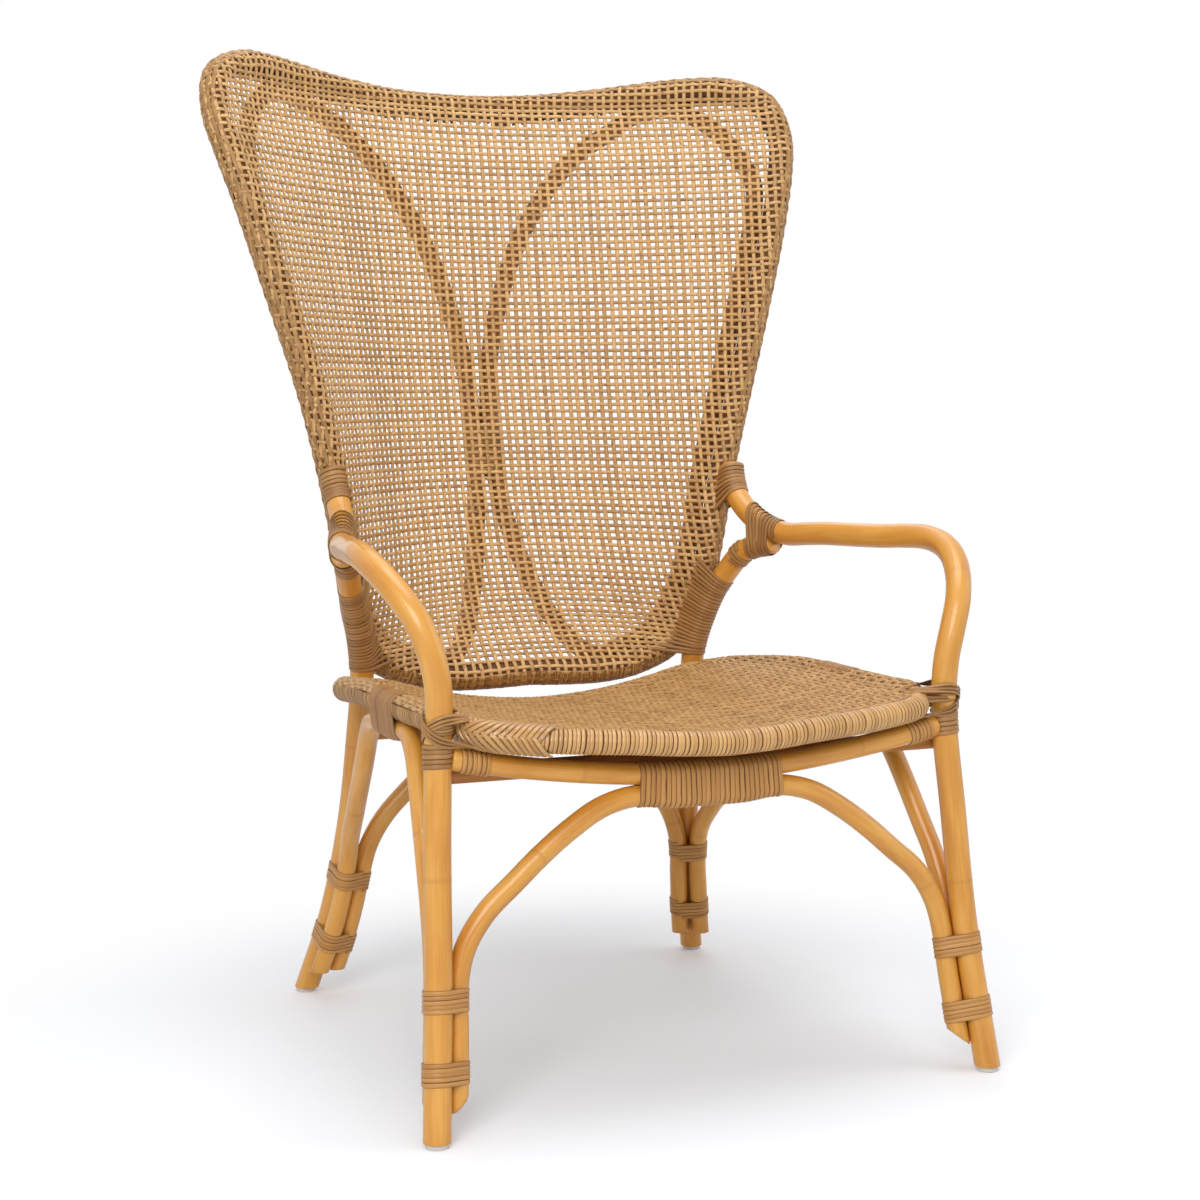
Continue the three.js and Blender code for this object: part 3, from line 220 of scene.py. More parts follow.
def linearColour(hexColour):
    channels = [int(hexColour[place:place + 2], 16) / 255 for place in (1, 3, 5)]
    return tuple(c / 12.92 if c <= 0.04045 else ((c + 0.055) / 1.055) ** 2.4 for c in channels) + (1.0,)


# Adds a node, sets its properties, inputs and colour stops, and links its inputs from other sockets
def addNode(material, kind, values=None, links=None, stops=()):
    tree = material.node_tree
    node = tree.nodes.new("ShaderNode" + kind)
    for name, value in (values or {}).items():
        if isinstance(name, str) and hasattr(node, name):
            setattr(node, name, value)
        else:
            node.inputs[name].default_value = value
    for name, socket in (links or {}).items():
        tree.links.new(socket, node.inputs[name])
    for position, hexColour in stops:
        node.color_ramp.elements.new(position).color = linearColour(hexColour)
    if stops:   # the two stops of a new ramp, at 0 and 1
        node.color_ramp.elements.remove(node.color_ramp.elements[-1])
        node.color_ramp.elements.remove(node.color_ramp.elements[0])
    return node


def newMaterial(name, roughness, ior, coat=0.0, coatRoughness=0.2):
    material = bpy.data.materials.new(name)
    material.use_nodes = True
    surface = material.node_tree.nodes["Principled BSDF"]
    surface.inputs["Roughness"].default_value = roughness
    surface.inputs["IOR"].default_value = ior
    surface.inputs["Coat Weight"].default_value = coat
    surface.inputs["Coat Roughness"].default_value = coatRoughness
    return material, surface


def paintWith(material, surface, colour, bump):
    material.node_tree.links.new(colour, surface.inputs["Base Color"])
    material.node_tree.links.new(bump.outputs[0], surface.inputs["Normal"])
    return material


# Noise that runs along the grain, by the number of its cells in a metre across and along
def grainPattern(material, across, along, detail, roughness=0.5):
    grain = addNode(material, "Attribute", {"attribute_name": "grain"})
    cells = addNode(material, "Mapping", {"Scale": (across, across, along)},
                    {"Vector": grain.outputs["Vector"]})
    return addNode(material, "TexNoise", {"Scale": 1.0, "Detail": detail, "Roughness": roughness},
                   {"Vector": cells.outputs[0]}).outputs["Fac"]


# Peeled rattan pole, sanded and stained: long fine fibres, darker rings at the knots, soft gloss where lacquered
def rattanPole(name, light, middle, dark, roughness=0.36, coat=0.38):
    material, surface = newMaterial(name, roughness, 1.5, coat=coat, coatRoughness=0.14)
    knot = addNode(material, "Attribute", {"attribute_name": "knot"})
    fibres = grainPattern(material, 1250, 16, 3.0, 0.6)   # 0.8 mm apart, about 60 mm long
    patches = grainPattern(material, 60, 11, 2.0)   # 17 mm wide, 90 mm long
    blend = addNode(material, "Mix", {"Factor": 0.6}, {"A": fibres, "B": patches})
    ramp = addNode(material, "ValToRGB", links={"Fac": blend.outputs[0]},
                   stops=((0.3, dark), (0.5, middle), (0.7, light)))
    ringed = addNode(material, "Mix", {"data_type": "RGBA", "B": linearColour("#8F5A26")},
                     {"Factor": knot.outputs["Fac"], "A": ramp.outputs[0]})
    bump = addNode(material, "Bump", {"Strength": 0.12, "Distance": 0.0004}, {"Height": fibres})
    return paintWith(material, surface, ringed.outputs["Result"], bump)


# Split or round cane with its fibres along it: each strand has its own tone, and its edges are darker with painted
# shade
def caneStrand(name, light, middle, dark, roughness, coat=0.0, speckle=0.0, seam=0.5):
    material, surface = newMaterial(name, roughness, 1.5, coat=coat, coatRoughness=0.25)
    tone = addNode(material, "Attribute", {"attribute_name": "tone"})
    rim = addNode(material, "Attribute", {"attribute_name": "rim"})
    # Fibres 0.7 mm apart and 25 mm long, drawn coarser than real ones so that the render can show them
    fibres = grainPattern(material, 1400, 40, 2.0)
    blend = addNode(material, "Mix", {"Factor": 0.62}, {"A": fibres, "B": tone.outputs["Fac"]})
    ramp = addNode(material, "ValToRGB", links={"Fac": blend.outputs[0]},
                   stops=((0.2, dark), (0.5, middle), (0.8, light)))
    colour = ramp.outputs[0]
    if speckle:   # short dark scars about 4 mm apart, where the skin was scraped
        scars = addNode(material, "MapRange", {"From Min": 0.66, "From Max": 0.78, "To Max": speckle},
                        {"Value": grainPattern(material, 260, 130, 1.0)})
        scarred = addNode(material, "Mix", {"data_type": "RGBA", "B": linearColour("#5E4022")},
                          {"Factor": scars.outputs[0], "A": colour})
        colour = scarred.outputs["Result"]
    # Painted shade darkens the edges, where strand meets strand and the gaps between them lie in shade
    edge = addNode(material, "MapRange", {"From Min": 0.66, "From Max": 1.0, "To Max": seam},
                   {"Value": rim.outputs["Fac"]})
    edgeShaded = addNode(material, "Mix", {"data_type": "RGBA", "B": linearColour("#4A2F17")},
                     {"Factor": edge.outputs[0], "A": colour})
    bump = addNode(material, "Bump", {"Strength": 0.3, "Distance": 0.0003}, {"Height": fibres})
    return paintWith(material, surface, edgeShaded.outputs["Result"], bump)


# Outer poles: honey stain under clear lacquer, a warm glow with a long soft highlight
honeyRattan = rattanPole("lacquered_honey_rattan", "#E3A94F", "#D79638", "#C27C26")
# Inner poles: the same stain with hardly any lacquer, so duller, and deeper in colour, which is painted shade for
# poles under the seat and behind the weave
innerRattanPaintedShade = rattanPole("dull_inner_rattan_painted_shade", "#C4883F", "#B0702C", "#94581E", roughness=0.6, coat=0.05)
# The hoops under the weave and the seat get a dark, dull colour that is painted shade, so that they read as depth
# between the strands
paintedShadeRattan = rattanPole("hoop_rattan_painted_shade", "#7A4A1C", "#643A14", "#4E2B0C", roughness=0.75, coat=0.0)
# Split cane of the leg, rail and arch bindings, smoked to a light brown with a faint sheen
bindingCane = caneStrand("smoked_binding_cane", "#D09C59", "#BB8442", "#96612B", 0.42, seam=0.8)
# The same cane where hands and dust have greyed it
agedCane = caneStrand("aged_binding_cane", "#BC8C52", "#A0713C", "#7C5227", 0.42, seam=0.7)
# Split cane with its skin on, wound on the seat's rim: pale and glossy
rimCane = caneStrand("glossy_rim_cane", "#E0B072", "#CB9A5A", "#9E7040", 0.3, coat=0.35, seam=0.6)
# Round core of the rattan, scraped and woven: dry, pale and speckled. The edge strands get a darker copy, which is
# painted shade on the hoops' shaded outer side
edgeCorePaintedShade = caneStrand("edge_rattan_core_painted_shade", "#C59859", "#A67A44", "#7C5228", 0.5, speckle=0.85, seam=0.6)
wovenCore = caneStrand("woven_rattan_core", "#DFB478", "#C79A60", "#9E7240", 0.5, speckle=0.85, seam=0.55)
seatCore = caneStrand("woven_seat_core", "#CBA068", "#B0854E", "#7A542C", 0.5, speckle=0.85, seam=0.55)


def activate(piece):
    bpy.ops.object.select_all(action="DESELECT")
    piece.select_set(True)
    bpy.context.view_layer.objects.active = piece


# Selects the vertices, edges or faces that a test keeps, in edit mode
def selectWhere(piece, kind, test):
    bpy.ops.mesh.select_mode(type=kind)
    bpy.ops.mesh.select_all(action="DESELECT")
    shape = bmesh.from_edit_mesh(piece.data)
    for element in {"VERT": shape.verts, "EDGE": shape.edges, "FACE": shape.faces}[kind]:
        element.select_set(test(element))
    shape.select_flush_mode()
    bmesh.update_edit_mesh(piece.data)


def turnOutwards():
    bpy.ops.mesh.select_all(action="SELECT")
    bpy.ops.mesh.normals_make_consistent(inside=False)
    bpy.ops.object.mode_set(mode="OBJECT")


def dress(piece, name, material, nodes):
    piece.name = piece.data.name = name
    piece.data.materials.clear()
    piece.data.materials.append(material)
    activate(piece)
    bpy.ops.object.shade_smooth_by_angle(angle=math.radians(38))
    bpy.ops.object.select_all(action="DESELECT")
    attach(piece, "root")
    if nodes:
        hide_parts(*nodes)
    return piece


poleForm = {
    "thick": 0.0135, "arch": 0.01075, "rail": 0.011, "bearer": 0.0095,   # radii
    "sides": 20, "ringStep": 0.008, "endRounding": 0.0022, "glideShows": 0.0012,
    "knotSpacing": 0.4, "knotHalf": 0.004, "knotSwell": 1.009, "knotStain": 0.18, "knotSoftness": 0.0022,
}


# A straight pole with knots, bent along a path, and cut level above the floor where it is a leg
def bentPole(name, path, radius, material, nodes, closed=False, floorCut=None):
    length = pathRun(path)[-1]
    bpy.ops.mesh.primitive_cylinder_add(vertices=poleForm["sides"], radius=radius, depth=length,
                                        location=(0, 0, length / 2))
    piece = bpy.context.object
    bpy.ops.object.transform_apply(location=True, rotation=True, scale=True)
    bpy.ops.object.mode_set(mode="EDIT")
    cuts = int(math.sqrt(length / poleForm["ringStep"]))
    for _ in range(2):   # twice the root of the count gives all the rings
        selectWhere(piece, "EDGE", lambda edge: abs(edge.verts[0].co.z - edge.verts[1].co.z) > 1e-6)
        bpy.ops.mesh.subdivide(number_cuts=cuts)
    knots = []
    knot = random.uniform(0.3, 0.9) * poleForm["knotSpacing"]
    while knot < length - 0.04:
        knots.append(knot)
        for offset in (-poleForm["knotHalf"], 0, poleForm["knotHalf"]):
            bpy.ops.mesh.select_all(action="SELECT")
            bpy.ops.mesh.bisect(plane_co=(0, 0, knot + offset), plane_no=(0, 0, 1))
        selectWhere(piece, "VERT", lambda vertex: abs(vertex.co.z - knot) < 1e-4)
        bpy.ops.transform.resize(value=(poleForm["knotSwell"], poleForm["knotSwell"], 1),
                                 center_override=(0, 0, knot))
        knot += poleForm["knotSpacing"] * random.uniform(0.75, 1.25)
    if not closed:   # the round ends
        selectWhere(piece, "FACE", lambda face: len(face.verts) > 4)
        bpy.ops.mesh.bevel(offset=poleForm["endRounding"], segments=3, affect="EDGES")
    bpy.ops.object.mode_set(mode="OBJECT")
    # Knots and grain are kept as attributes before the pole bends, so that both follow it
    mesh = piece.data
    places = placesOf(mesh)
    nearness = np.zeros(len(places))
    for knot in knots:
        nearness = np.maximum(nearness, np.exp(-((places[:, 2] - knot) / poleForm["knotSoftness"]) ** 2))
    setAttribute(mesh, "knot", poleForm["knotStain"] * nearness)
    setAttribute(mesh, "grain", places + [0, 0, random.uniform(0, 40)])
    guide = bpy.data.curves.new("guide", "CURVE")
    guide.dimensions = "3D"
    guide.use_radius = False
    spline = guide.splines.new("POLY")
    spline.points.add(len(path) - 1)
    spline.points.foreach_set("co", np.column_stack([path, np.ones(len(path))]).reshape(-1))
    guideObject = bpy.data.objects.new("guide", guide)
    bpy.context.collection.objects.link(guideObject)
    bend = piece.modifiers.new("bend", "CURVE")
    bend.object = guideObject
    bend.deform_axis = "POS_Z"
    bpy.context.view_layer.objects.active = piece
    bpy.ops.object.modifier_apply(modifier="bend")
    bpy.data.objects.remove(guideObject)
    if floorCut is not None:
        bpy.ops.object.mode_set(mode="EDIT")
        bpy.ops.mesh.select_all(action="SELECT")
        bpy.ops.mesh.bisect(plane_co=(0, 0, floorCut), plane_no=(0, 0, 1), use_fill=True, clear_inner=True)
        turnOutwards()
    return dress(piece, name, material, nodes)


# Half sections of a strand, across it and upwards, for width and thickness 1
roundedStrand = np.array([(-0.5, 0), (-0.4, 0.68), (-0.14, 1), (0.14, 1), (0.4, 0.68), (0.5, 0)])
flatStrand = np.array([(-0.5, 0), (-0.3, 1), (0.3, 1), (0.5, 0)])


# Strands as one mesh. Each strand is its places, outward directions, width, thickness and tone
def strandPiece(name, strands, material, nodes, profile=roundedStrand, lift=0.0):
    points, faces, grains, tones, rims = [], [], [], [], []
    sides = len(profile)
    base = 0
    for places, outward, width, thickness, tone in strands:
        run = np.gradient(places, axis=0)
        across = unit(np.cross(unit(outward), unit(run)))
        up = unit(np.cross(unit(run), across))
        count = len(places)
        sidewaysPart = profile[:, 0][None, :, None] * width * across[:, None, :]
        upwardPart = (profile[:, 1][None, :, None] + lift) * thickness * up[:, None, :]
        points.append((places[:, None, :] + sidewaysPart + upwardPart).reshape(-1, 3))
        grain = np.empty((count, sides, 3))
        grain[..., 0] = profile[:, 0] * width
        grain[..., 1] = profile[:, 1] * thickness
        grain[..., 2] = pathRun(places)[:, None] + noise.uniform(0, 40)
        grains.append(grain.reshape(-1, 3))
        tones.append(np.repeat(np.broadcast_to(tone, count), sides))
        rims.append(np.tile(2 * np.abs(profile[:, 0]), count))
        ring = np.arange(count - 1)[:, None] * sides + base
        side = np.arange(sides)[None, :]
        nextSide = (side + 1) % sides
        quads = [ring + side, ring + nextSide, ring + sides + nextSide, ring + sides + side]
        faces.append(np.stack(quads, axis=-1).reshape(-1, 4))
        base += count * sides
    mesh = bpy.data.meshes.new(name)
    mesh.from_pydata(np.vstack(points), [], np.vstack(faces))
    setAttribute(mesh, "grain", np.vstack(grains))
    setAttribute(mesh, "tone", np.concatenate(tones))
    setAttribute(mesh, "rim", np.concatenate(rims))
    piece = bpy.data.objects.new(name, mesh)
    bpy.context.collection.objects.link(piece)
    activate(piece)
    bpy.ops.object.mode_set(mode="EDIT")
    bpy.ops.mesh.select_mode(type="EDGE")
    bpy.ops.mesh.select_all(action="DESELECT")
    bpy.ops.mesh.select_non_manifold()   # the open ends
    if len(strands) == 1:
        bpy.ops.mesh.edge_face_add()
    else:
        bpy.ops.mesh.fill_holes(sides=sides)
    turnOutwards()
    return dress(piece, name, material, nodes)


# Front ends of an arch are cut to a slant beside the leg, rear ends straight across
archCut = {"frontSlant": 0.75, "frontInset": 0.010, "frontRise": 0.001, "rearLevel": 0.030, "reach": 0.07}


def cutArchEnds(pole, path):
    activate(pole)
    bpy.ops.object.mode_set(mode="EDIT")
    for end in (path[0], path[-1]):
        inward = unit((path[len(path) // 2] - end) * (1, 1, 0))
        cutPlace = Vector(end - inward * archCut["frontInset"])
        if end[1] > 0:
            cutPlace.z = archCut["rearLevel"]
            cutWay = Vector((0, 0, 1))
        else:
            cutPlace.z += archCut["frontRise"]
            cutWay = Vector((*(-inward[:2] * archCut["frontSlant"]), 1))
        selectWhere(pole, "VERT", lambda vertex: (vertex.co - Vector(end)).length < archCut["reach"])
        bpy.ops.mesh.bisect(plane_co=cutPlace, plane_no=cutWay, use_fill=True, clear_inner=True)
    turnOutwards()


radii = {"seat_hoop": 0.011}
for size, material, slot, nodes in (
    ("thick", honeyRattan, "outer_pole", ("front_pole_right", "front_pole_left", "rear_pole_right", "rear_pole_left")),
    ("arch", honeyRattan, "outer_pole", ("front_arch", "rear_arch", "side_arch_right", "side_arch_left")),
    ("rail", honeyRattan, "outer_pole", ("front_rail",)),
    ("bearer", innerRattanPaintedShade, "inner_pole", ("seat_bearer",)),
    ("rail", innerRattanPaintedShade, "inner_pole", ("rear_rail",)),
    ("thick", paintedShadeRattan, "inner_pole", ("back_hoop",)),
    ("rail", innerRattanPaintedShade, "inner_pole", ("back_oval_right", "back_oval_left")),
):
    for node in nodes:
        radii[node] = poleForm[size]
        glide = "glide_" + node.replace("_pole", "")
        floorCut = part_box(glide)[1][2] + poleForm["glideShows"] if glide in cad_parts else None
        pole = bentPole(node + "_finish", paths[node], radii[node], material, [node], closed=node in hoops,
                        floorCut=floorCut)
        if "arch" in node:
            cutArchEnds(pole, paths[node])
print("poles bent")


# Outlines of the poles near a place, in the plane across the winding's way
def crossings(origin, along, hiddenWay, besideWay, members):
    turn = np.linspace(0, 2 * math.pi, 72, endpoint=False)
    outlines = []
    for path, radius in members:
        side = (path - origin) @ along
        best = None
        for index in np.nonzero(side[:-1] * side[1:] <= 0)[0]:
            share = side[index] / (side[index] - side[index + 1] + 1e-15)
            hit = path[index] + share * (path[index + 1] - path[index]) - origin
            if best is None or np.linalg.norm(hit) < np.linalg.norm(best[0]):
                best = (hit, unit(path[index + 1] - path[index]))
        if best is not None and np.linalg.norm(best[0]) < 0.06:
            hit, run = best
            slant = max(abs(run @ along), 0.5)
            angle = math.atan2(run @ besideWay, run @ hiddenWay)
            x, y = radius / slant * np.cos(turn), radius * np.sin(turn)
            outlines.append(np.column_stack([hit @ hiddenWay + x * math.cos(angle) - y * math.sin(angle),
                                             hit @ besideWay + x * math.sin(angle) + y * math.cos(angle)]))
    return np.vstack(outlines)


# The line that a tight band takes round flat points
def hullOf(points):
    points = points[np.lexsort((points[:, 1], points[:, 0]))]
    hull = []
    for run in (points, points[::-1]):
        chain = []
        for point in run:
            while len(chain) > 1 and ((chain[-1][0] - chain[-2][0]) * (point[1] - chain[-2][1])
                                      - (chain[-1][1] - chain[-2][1]) * (point[0] - chain[-2][0])) <= 1e-12:
                chain.pop()
            chain.append(point)
        hull += chain[:-1]
    return np.array(hull)


# A taut loop: evenly spaced places and outward directions, from the side that faces a hidden direction
def tautLoop(origin, along, members, standOff, hidden, count):
    hiddenWay = unit(hidden - (hidden @ along) * along)
    besideWay = np.cross(along, hiddenWay)
    hull = closedLoop(hullOf(crossings(origin, along, hiddenWay, besideWay, members)))
    run = pathRun(hull)
    flat = pointOn(hull, run, np.linspace(0, run[-1], 12 * count, endpoint=False))   # fine, to find the start
    away = flat - flat.mean(axis=0)
    flat = np.roll(flat, -int(np.argmin(np.abs(np.arctan2(away[:, 1], away[:, 0])))), axis=0)[::12]
    step = np.roll(flat, -1, axis=0) - np.roll(flat, 1, axis=0)
    facing = unit(np.column_stack([step[:, 1], -step[:, 0]]))
    flat = flat + facing * standOff
    return (origin + flat[:, :1] * hiddenWay + flat[:, 1:] * besideWay,
            facing[:, :1] * hiddenWay + facing[:, 1:] * besideWay)


binding = {"pitch": 0.0048, "overlap": 1.03, "thickness": 0.0015, "perTurn": 30, "slack": 0.06}


# One strand wound round poles, between two lengths of a guide path. Its turns join on the hidden side
def windOn(guide, members, start, end, turns, width, thickness, hidden, standOff=0.0):
    run = pathRun(guide)
    count = binding["perTurn"]
    loops = []
    for turn in range(turns + 1):
        length = start + (end - start) * turn / turns
        along = unit(pointOn(guide, run, length + 0.004) - pointOn(guide, run, length - 0.004))
        loops.append(tautLoop(pointOn(guide, run, length), along, members, standOff, np.array(hidden, dtype=float),
                              count))
    share = np.arange(count)[:, None] / count
    places, outward, tones = [], [], []
    for (here, facing), (after, facingAfter) in zip(loops, loops[1:]):
        shift = noise.normal(0, binding["slack"] * width)
        along = unit(after.mean(axis=0) - here.mean(axis=0))
        places.append(here * (1 - share) + after * share + shift * along * np.sin(math.pi * share))
        outward.append(unit(facing * (1 - share) + facingAfter * share))
        tones.append(np.full(count, noise.uniform(0.35, 0.7)))
    return np.vstack(places), np.vstack(outward), width, thickness, np.concatenate(tones)


# A close binding about a middle length of a guide path. It goes round poles that are given by name, or by name and
# radius where they press into the cane or carry the weave
def lash(name, guide, poles, middle, length, hidden, material=agedCane, nodes=None, pitch=binding["pitch"]):
    members = [(paths[pole], radii[pole]) if isinstance(pole, str) else (paths[pole[0]], pole[1]) for pole in poles]
    strand = windOn(paths[guide], members, middle - length / 2, middle + length / 2,
                    max(int(round(length / pitch)), 2), pitch * binding["overlap"], binding["thickness"], hidden)
    strandPiece(name, [strand], material, [name.replace("_strands", "")] if nodes is None else nodes)


def placeWhere(path, axis, value, fromLength=0.0):
    return pointOn(path, pathRun(path), lengthWhere(path, axis, value, fromLength))


# Where each lashing's middle lies, as a height, a depth or an inset from the pole's end, its length on the pole, and
# the radii that its strands keep to where these aren't the pole's own
lashing = {
    "frontLower": 0.066, "frontUpper": 0.132, "rearLower": 0.076, "rearUpper": 0.150, "legLength": 0.0218,
    "rail": (0.362, 0.0245), "railEnd": (0.0235, 0.029), "branchWrap": (0.072, 0.016), "joint": (0.015, 0.038, 0.06),
    "armEnd": (0.021, 0.04), "back": (0.441, 0.105), "backPitch": 0.0042, "sideArch": (-0.134, 0.07),
    "frontArchLength": 0.156, "frontArchPitch": 0.00545, "rearArchLength": 0.094, "ovals": (0.633, 0.062),
    "pressedRadius": 0.0137, "hoopAtArm": 0.0090, "hoopAtBack": 0.0162, "rimRadius": 0.0135,
}
seatTie = {"height": 0.392, "slants": (0.1, -0.75, 0.75), "turns": 3, "start": 0.0152, "end": 0.0248,
           "guideHalf": 0.02, "width": 0.0035, "thickness": 0.0014, "layer": 0.0013}

for side, sign in (("right", 1), ("left", -1)):
    leg, rear, hoop, sideArch = f"front_pole_{side}", f"rear_pole_{side}", f"hoop_{side}", f"side_arch_{side}"
    arm, branch, rim = paths[leg], paths[rear], paths["seat_hoop"]
    inwards = (-sign, 0.6, 0)
    for end, pole, arch, forwards in (("front", leg, "front_arch", 0.9), ("rear", rear, "rear_arch", -0.9)):
        for level in ("lower", "upper"):
            height = lashing[end + level.capitalize()]
            lash(f"leg_lashing_{end}_{level}_{side}_strands", pole, (pole, arch, sideArch),
                 lengthWhere(paths[pole], 2, height), lashing["legLength"], (-sign, forwards, 0), bindingCane)
    height, length = lashing["rail"]
    lash(f"rail_lashing_{side}_strands", leg, (leg,), lengthWhere(arm, 2, height), length, inwards)
    inset, length = lashing["railEnd"]
    lash(f"rail_end_binding_{side}_strands", "front_rail", ("front_rail",),
         inset if side == "left" else pathRun(paths["front_rail"])[-1] - inset, length, (0, 1, -0.5), bindingCane)

    # Seat tie: one straight and two crossing windings round pole and rim
    onLeg = placeWhere(arm, 2, seatTie["height"])
    nearest = int(np.argmin(np.linalg.norm(rim - onLeg, axis=1)))
    legWay = unit(placeWhere(arm, 2, seatTie["height"] + 0.008) - onLeg)
    rimWay = unit(rim[nearest + 1] - rim[nearest - 1])
    middle = (onLeg + rim[nearest]) / 2
    members = [(arm, radii[leg]), (rim, radii["seat_hoop"])]
    strands = []
    for layer, slant in enumerate(seatTie["slants"]):
        way = unit(legWay + slant * rimWay) * seatTie["guideHalf"]
        strands.append(windOn(np.array([middle - way, middle, middle + way]), members, seatTie["start"],
                              seatTie["end"], seatTie["turns"], seatTie["width"], seatTie["thickness"], inwards,
                              standOff=seatTie["layer"] * layer))
    strandPiece(f"seat_tie_{side}_strands", strands, agedCane, [f"seat_tie_{side}"])

    # Arm joint: strands round arm and branch, and a few more round the branch alone
    onArm, onBranch = ([placeWhere(pole, 1, depth, pathRun(pole)[-1] / 2) for depth in lashing["joint"]]
                       for pole in (arm, branch))
    paths["arm_joint"] = smoothPath([onArm[0], (onArm[1] * 3 + onBranch[1]) / 4, (onArm[2] + onBranch[2]) / 2], 0.002)
    length, pressed = pathRun(paths["arm_joint"])[-1], lashing["pressedRadius"]
    lash(f"arm_joint_lashing_{side}_strands", "arm_joint", ((leg, pressed), (rear, pressed)), length / 2,
         length - 0.004, (-sign, 0, -0.4))
    depth, length = lashing["branchWrap"]
    lash(f"branch_wrap_{side}", rear, (rear,), lengthWhere(branch, 1, depth, pathRun(branch)[-1] / 2), length,
         (-sign, 0, -0.4), nodes=[])   # stands for no node

    # Over the weave: arm end and hoop, rear pole and hoop
    armRun = pathRun(arm)
    paths["arm_end"] = smoothPath([pointOn(arm, armRun, armRun[-1] - back) for back in (0.075, 0.04, 0)], 0.002)
    inset, length = lashing["armEnd"]
    lash(f"arm_end_lashing_{side}_strands", "arm_end", ((hoop, lashing["hoopAtArm"]), (leg, pressed)),
         pathRun(paths["arm_end"])[-1] - inset, length, inwards)
    height, length = lashing["back"]
    lash(f"back_lashing_{side}_strands", rear, (rear, (hoop, lashing["hoopAtBack"])), lengthWhere(branch, 2, height),
         length, inwards, pitch=lashing["backPitch"])

    # Side arch and seat rim
    rimHalf = rim[(rim[:, 0] * sign > 0.2) & (abs(rim[:, 1] + 0.1) < 0.12)]
    paths["rim_side"] = rimHalf[np.argsort(rimHalf[:, 1])]
    depth, length = lashing["sideArch"]
    lash(f"side_arch_binding_{side}_strands", "rim_side", (("rim_side", lashing["rimRadius"]), sideArch),
         lengthWhere(paths["rim_side"], 1, depth), length, (-sign, 0, 0.2))

for end, hidden, pitch in (("front", (0, 1, 0.1), lashing["frontArchPitch"]), ("rear", (0, 1, 0), binding["pitch"])):
    rail, arch = f"{end}_rail", f"{end}_arch"
    lash(f"{arch}_binding_strands", rail, (rail, arch), pathRun(paths[rail])[-1] / 2, lashing[f"{end}ArchLength"],
         hidden, bindingCane, pitch=pitch)
height, length = lashing["ovals"]
lash("oval_tie_strands", "oval_middle", ("back_oval_right", "back_oval_left"),
     lengthWhere(paths["oval_middle"], 2, height), length, (0, 1, 0), bindingCane)
print("lashings wound")


# Back: open plain weave laid over the hoop and wrapped round it. The surface that hoop and ovals follow is barrelled:
# "middle" gives its depth at the middle by height, both as shares
backForm = {
    "bottom": 0.375, "top": 1.079, "front": 0.122, "rear": 0.378,
    "middle": ((0, 0.08), (0.035, 0.19), (0.11, 0.375), (0.29, 0.594), (0.39, 0.664), (0.51, 0.738),
               (0.625, 0.785), (0.73, 0.836), (0.88, 0.92), (0.97, 1)),
    "pitches": (0.0105, 0.0085), "widths": (0.0051, 0.0044), "wraps": (0.066, 0.061),   # columns, rows
    "thickness": 0.0017, "jitter": 0.00025, "blend": 0.012,
}
half = paths["hoop_right"]
rise = backForm["top"] - backForm["bottom"]
middlePath = smoothPath([(0, backForm["front"] + depth * (backForm["rear"] - backForm["front"]),
                          backForm["bottom"] + height * rise) for height, depth in backForm["middle"]], 0.003)
heights = np.linspace(backForm["bottom"] + 0.001, backForm["top"] - 0.001, 240)
lowest = int(np.argmin(half[:40, 2]))
firsts = [lowest + int(np.argmax(half[lowest:, 2] >= height)) for height in heights]
sideX, sideY = half[firsts, 0], half[firsts, 1]
middleY = np.interp(heights, middlePath[:, 2], middlePath[:, 1])
middleRun = pathRun(np.column_stack([middleY, heights]))


def barrel(z):   # depth at the middle, and how fast it falls off to the sides
    middle, x, y = (np.interp(z, heights, values) for values in (middleY, sideX, sideY))
    return middle, (middle - y) / x ** 2


def backY(x, z):
    middle, fall = barrel(z)
    return middle - fall * x ** 2


def backNormal(x, z):
    probe = 0.008
    slopeX = 2 * barrel(z)[1] * x
    slopeZ = (backY(x, z + probe) - backY(x, z - probe)) / (2 * probe)
    return unit(np.stack([-slopeX, -np.ones_like(x), slopeZ], axis=-1))


def sideways(x, z):   # distance from the middle, measured on the surface
    bow = np.maximum(2 * barrel(z)[1], 1e-4)
    return x / 2 * np.sqrt(1 + (bow * x) ** 2) + np.arcsinh(bow * x) / (2 * bow)


def ringRun(loop):   # the way that a closed path runs at each of its points
    return unit(np.roll(loop, -2, axis=0) - np.roll(loop, 2, axis=0))


# The hoop laid flat, as distance to the side and upwards on the surface
hoopFlat = np.column_stack([sideways(hoopLoop[:, 0], hoopLoop[:, 2]), np.interp(hoopLoop[:, 2], heights, middleRun)])
flatRun = ringRun(hoopFlat)
flatOut = np.column_stack([flatRun[:, 1], -flatRun[:, 0]])
hoopRun = ringRun(hoopLoop)
hoopFront = backNormal(hoopLoop[:, 0], hoopLoop[:, 2])
hoopFront = unit(hoopFront - (hoopFront * hoopRun).sum(axis=1, keepdims=True) * hoopRun)
hoopOut = np.cross(hoopFront, hoopRun)
hoopOut *= np.sign(hoopOut[0] @ np.array([0, 0, -1.0]))
tubeRadius = poleForm["thick"] + backForm["thickness"]


